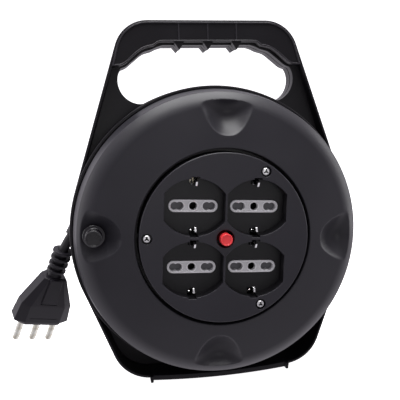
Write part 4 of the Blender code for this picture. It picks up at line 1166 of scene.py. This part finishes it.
def foot_pieces(name, plan, start, end):
    """A rounded foot plate and the two runners that the reel stands on."""
    upright = FRAME @ Matrix.Rotation(math.radians(90), 4, "X")
    outline = [(x, -y) for x, y in plan]
    pieces = [moulded(f"{name}_foot", outline, FOOT_BOTTOM, FOOT_TOP, 0.6, upright, 0.6)]
    for side in (-1, 1):
        x = side * RUNNER_X
        tread = RUNNER_HALF_WIDTH * 0.6
        corners = [(x - RUNNER_HALF_WIDTH, RUNNER_TOP), (x + RUNNER_HALF_WIDTH, RUNNER_TOP),
                   (x + tread, GROUND_Z), (x - tread, GROUND_Z)]
        section = rounded(corners, [0.4, 0.4, 0.5, 0.5], 4)
        pieces.append(moulded(f"{name}_runner_{side + 2}", section, start, end, 0.4, FRAME, 0.4))
    return pieces


def back_depth(radius, angle):
    """Depth of the housing's back: eight shallow panels between spokes."""
    spoke = math.radians(45)
    offset = abs(angle - round(angle / spoke) * spoke)
    across = min(1.0, max(0.0, (math.degrees(offset) - 1.9) / 0.5))
    along = min(1.0, max(0.0, (radius - 40.0) / 0.6), max(0.0, (88.0 - radius) / 0.6))
    return BACK_Y - BACK_PANEL_DEPTH * across * along


def build_rear_moulding(looks):
    """Back of the frame: rounded edges, the round cup behind the drum and the back of the foot."""
    shell = Shell()
    outline = frame_outline()
    opening = opening_outline()
    inner = circle((WALL_RADIUS + HOUSING_INNER_RADIUS) / 2, 180)
    seam = SEAM_Y + 0.2
    edge = fillet_levels(PILLAR_BACK_Y, 1.2, 5, -1)[::-1]
    shell.walls(outline, [(seam, -SEAM_GROOVE), (seam + SEAM_GROOVE, 0.0), *edge])
    back_edge = hole_levels(PILLAR_BACK_Y, 1.0, 5, -1)[::-1]
    shell.walls(opening, [(seam, SEAM_GROOVE), (seam + SEAM_GROOVE, 0.0), *back_edge])
    shell.strip(inner, seam, inner, PILLAR_BACK_Y)
    shell.cap(seam, grown(outline, -SEAM_GROOVE), [inner, grown(opening, SEAM_GROOVE)])
    shell.cap(PILLAR_BACK_Y, grown(outline, edge[-1][1]), [inner, grown(opening, back_edge[-1][1])])
    body = shell.finish("rear_moulding", FRAME, 40)
    half = FOOT_HALF_LENGTH
    plan = [(-half, seam), (half, seam), (half, BACK_Y - 0.3), (-half, BACK_Y - 0.3)]
    foot = foot_pieces("rear", plan, seam, BACK_Y - 0.6)
    return finish_piece(gather([body, build_cup(), *foot]), looks, "frame", "frame_plastic",
                        "rear_housing")


def build_cup():
    """Round cup of the rear moulding, with a groove and eight shallow panels on its back."""
    seam = SEAM_Y + 0.2
    groove = BACK_Y - 0.9
    edge = rounded([(WALL_RADIUS - 0.2, seam), (WALL_RADIUS, seam + 0.3), (WALL_RADIUS, BACK_Y),
                    (97.0, BACK_Y), (96.4, groove), (94.6, groove), (94.0, BACK_Y)],
                   [0, 0, 2.2, 0.4, 0.4, 0.4, 0.4], 5)
    flats = [(radius, BACK_Y) for radius in (90.0, 88.6, 88.0, 87.4, 70.0, 55.0, 40.6, 40.0, 39.4, 38.0)]
    middle = rounded([(20.0, BACK_Y), (19.4, groove), (17.6, groove), (17.0, BACK_Y), (5.0, BACK_Y)],
                     [0.4, 0.4, 0.4, 0.4, 0], 4)
    inside = [(5.0, BACK_Y - 3.0), (HOUSING_INNER_RADIUS, BACK_Y - 3.0), (HOUSING_INNER_RADIUS, seam)]
    profile = edge + flats + middle + inside
    cup = rippled("rear_cup", profile, FRAME,
                  lambda _, radius, y, angle: back_depth(radius, angle) if y == BACK_Y else y, 40)
    hub_corners = [(0, BACK_Y - 3.5), (6.0, BACK_Y - 3.5), (6.0, BACK_Y - 0.5), (0, BACK_Y - 0.5)]
    return gather([cup, turned("cup_hub", rounded(hub_corners, [0, 0, 0.8, 0], 4), FRAME, 64)])


def cover_outline(ribs):
    """Handle cover inside the frame's edge; its lower edge carries the front of the finger ribs."""
    knots = ((-67.6, 121.7), (-64.0, 122.2), (-60.5, 123.9), (-56.8, 127.0), (-51.6, 131.4), (-47.5, 133.9),
             (-43.5, 135.2), (-40.3, 135.8), (-36.8, 138.1), (-33.5, COVER_EDGE_Z))
    lower = flat_curve(knots, 5)
    rim = [point for point in grown(frame_outline(), -COVER_INSET) if point[1] > 124.0]
    corner = 70.6
    teeth = grip_ribs(COVER_EDGE_Z, COVER_RIB_HALF_WIDTH, COVER_RIB_DEPTH) if ribs else []
    return [(-corner, 121.7), *lower, *teeth, *mirrored(lower), (corner, 121.7), *rim]


def build_handle_cover(looks):
    """Front cover of the handle: a sunk face inside a raised border, three thin ribs across it."""
    border = cover_outline(False)
    face = FRAME_FRONT_Y + 0.5
    lean = FRAME_FRONT_LEAN
    plate = moulded("cover_plate", cover_outline(True), face, WEB_Y - 0.3, 0.45, FRAME, lean=lean)
    shell = Shell()
    section = rounded([(-0.1, face + 1.5), (-0.1, face - 1.1), (-1.3, face - 1.1), (-1.3, face + 1.5)],
                      [0, 0.5, 0.5, 0], 5)
    for (grow_a, y_a), (grow_b, y_b) in zip(section, section[1:] + section[:1]):
        shell.strip(grown(border, grow_a), front_leaning(y_a), grown(border, grow_b), front_leaning(y_b))
    beads = [shell.finish("cover_border", FRAME, 50)]
    for x in GRIP_RIB_PLACES:
        low, high = COVER_EDGE_Z + 0.8, 152.0
        line = [(x - 0.5, low), (x + 0.5, low), (x + 0.4, high), (x - 0.4, high)]
        beads.append(moulded("cover_rib", line, face - 0.8, face + 1.0, 0.35, FRAME, lean=lean, steps=3))
    finish_piece(plate, looks, "frame", "frame_plastic", "handle_cover")
    # Border bead and ribs take a lighter copy of the frame plastic: painted highlight on their raised lines.
    finish_piece(gather(beads), looks, "frame", "frame_plastic", "handle_cover", look="bead")


def build_frame_screws(looks):
    """Pan-head screws in the back of the frame."""
    places = [(side * x, z) for x, z in FRAME_SCREWS for side in (-1, 1)]
    for number, (x, z) in enumerate(places, 1):
        place = FRAME @ Matrix.Translation((x * MM, 0, z * MM))
        back = PILLAR_BACK_Y
        corners = [(0, 55.0), (1.3, 55.0), (1.3, back + 0.05), (3.0, back + 0.05), (3.0, back + 2.1),
                   (0, back + 2.4)]
        screw = turned(f"frame_screw_head_{number}", rounded(corners, [0, 0, 0, 0, 1.0, 0], 5), place, 36)
        recess = plain_prism("recess", lobes(DRIVER_REACH), back + 0.9, back + 4.0, place)
        combine(screw, recess, "DIFFERENCE")
        finish_piece(screw, looks, "frame", "screw_steel", f"frame_screw_{number}")


def build_cord_outlet(looks):
    """Bush with a round collar that guides the cord through the housing wall."""
    outwards = (Vector(CORD_ROUTE[4]) - Vector(CORD_ROUTE[2])).normalized()
    turn = outwards.to_track_quat("Y", "Z").to_matrix().to_4x4()
    place = FRAME @ Matrix.Translation(Vector(CORD_ROUTE[3]) * MM) @ turn
    corners = [(3.7, -6.0), (5.0, -6.0), (5.0, 2.6), (3.7, 3.2)]
    bush = turned("outlet_bush", rounded(corners, [0, 0, 0.6, 0.3], 4), place, 64)
    finish_piece(bush, looks, "frame", "black_plastic", "cord_outlet")


# ---------------------------------------------------------------- carried-over CAD nodes

def paint_cad_nodes(looks):
    """Better materials for the CAD nodes that stay: the frame mouldings, the mechanism and the fasteners."""
    for part in frame["record"]["subparts"]:
        for slot in frame["nodes"][part["node"]].material_slots:
            slot.material = looks[part["material_slot"]]


build_camera()
LOOKS = make_materials()
PLUG_PIECES = [build_relief(LOOKS), build_plug_body(LOOKS), *build_plug_pins(LOOKS)]
build_cord(LOOKS)
for build in (build_winding, build_ring, build_panel, build_inserts, build_button, build_knob,
              build_panel_screws, build_earth_clips, build_front_moulding, build_rear_moulding,
              build_handle_cover, build_frame_screws, build_cord_outlet, paint_cad_nodes):
    build(LOOKS)
build_backdrop()
build_lights()
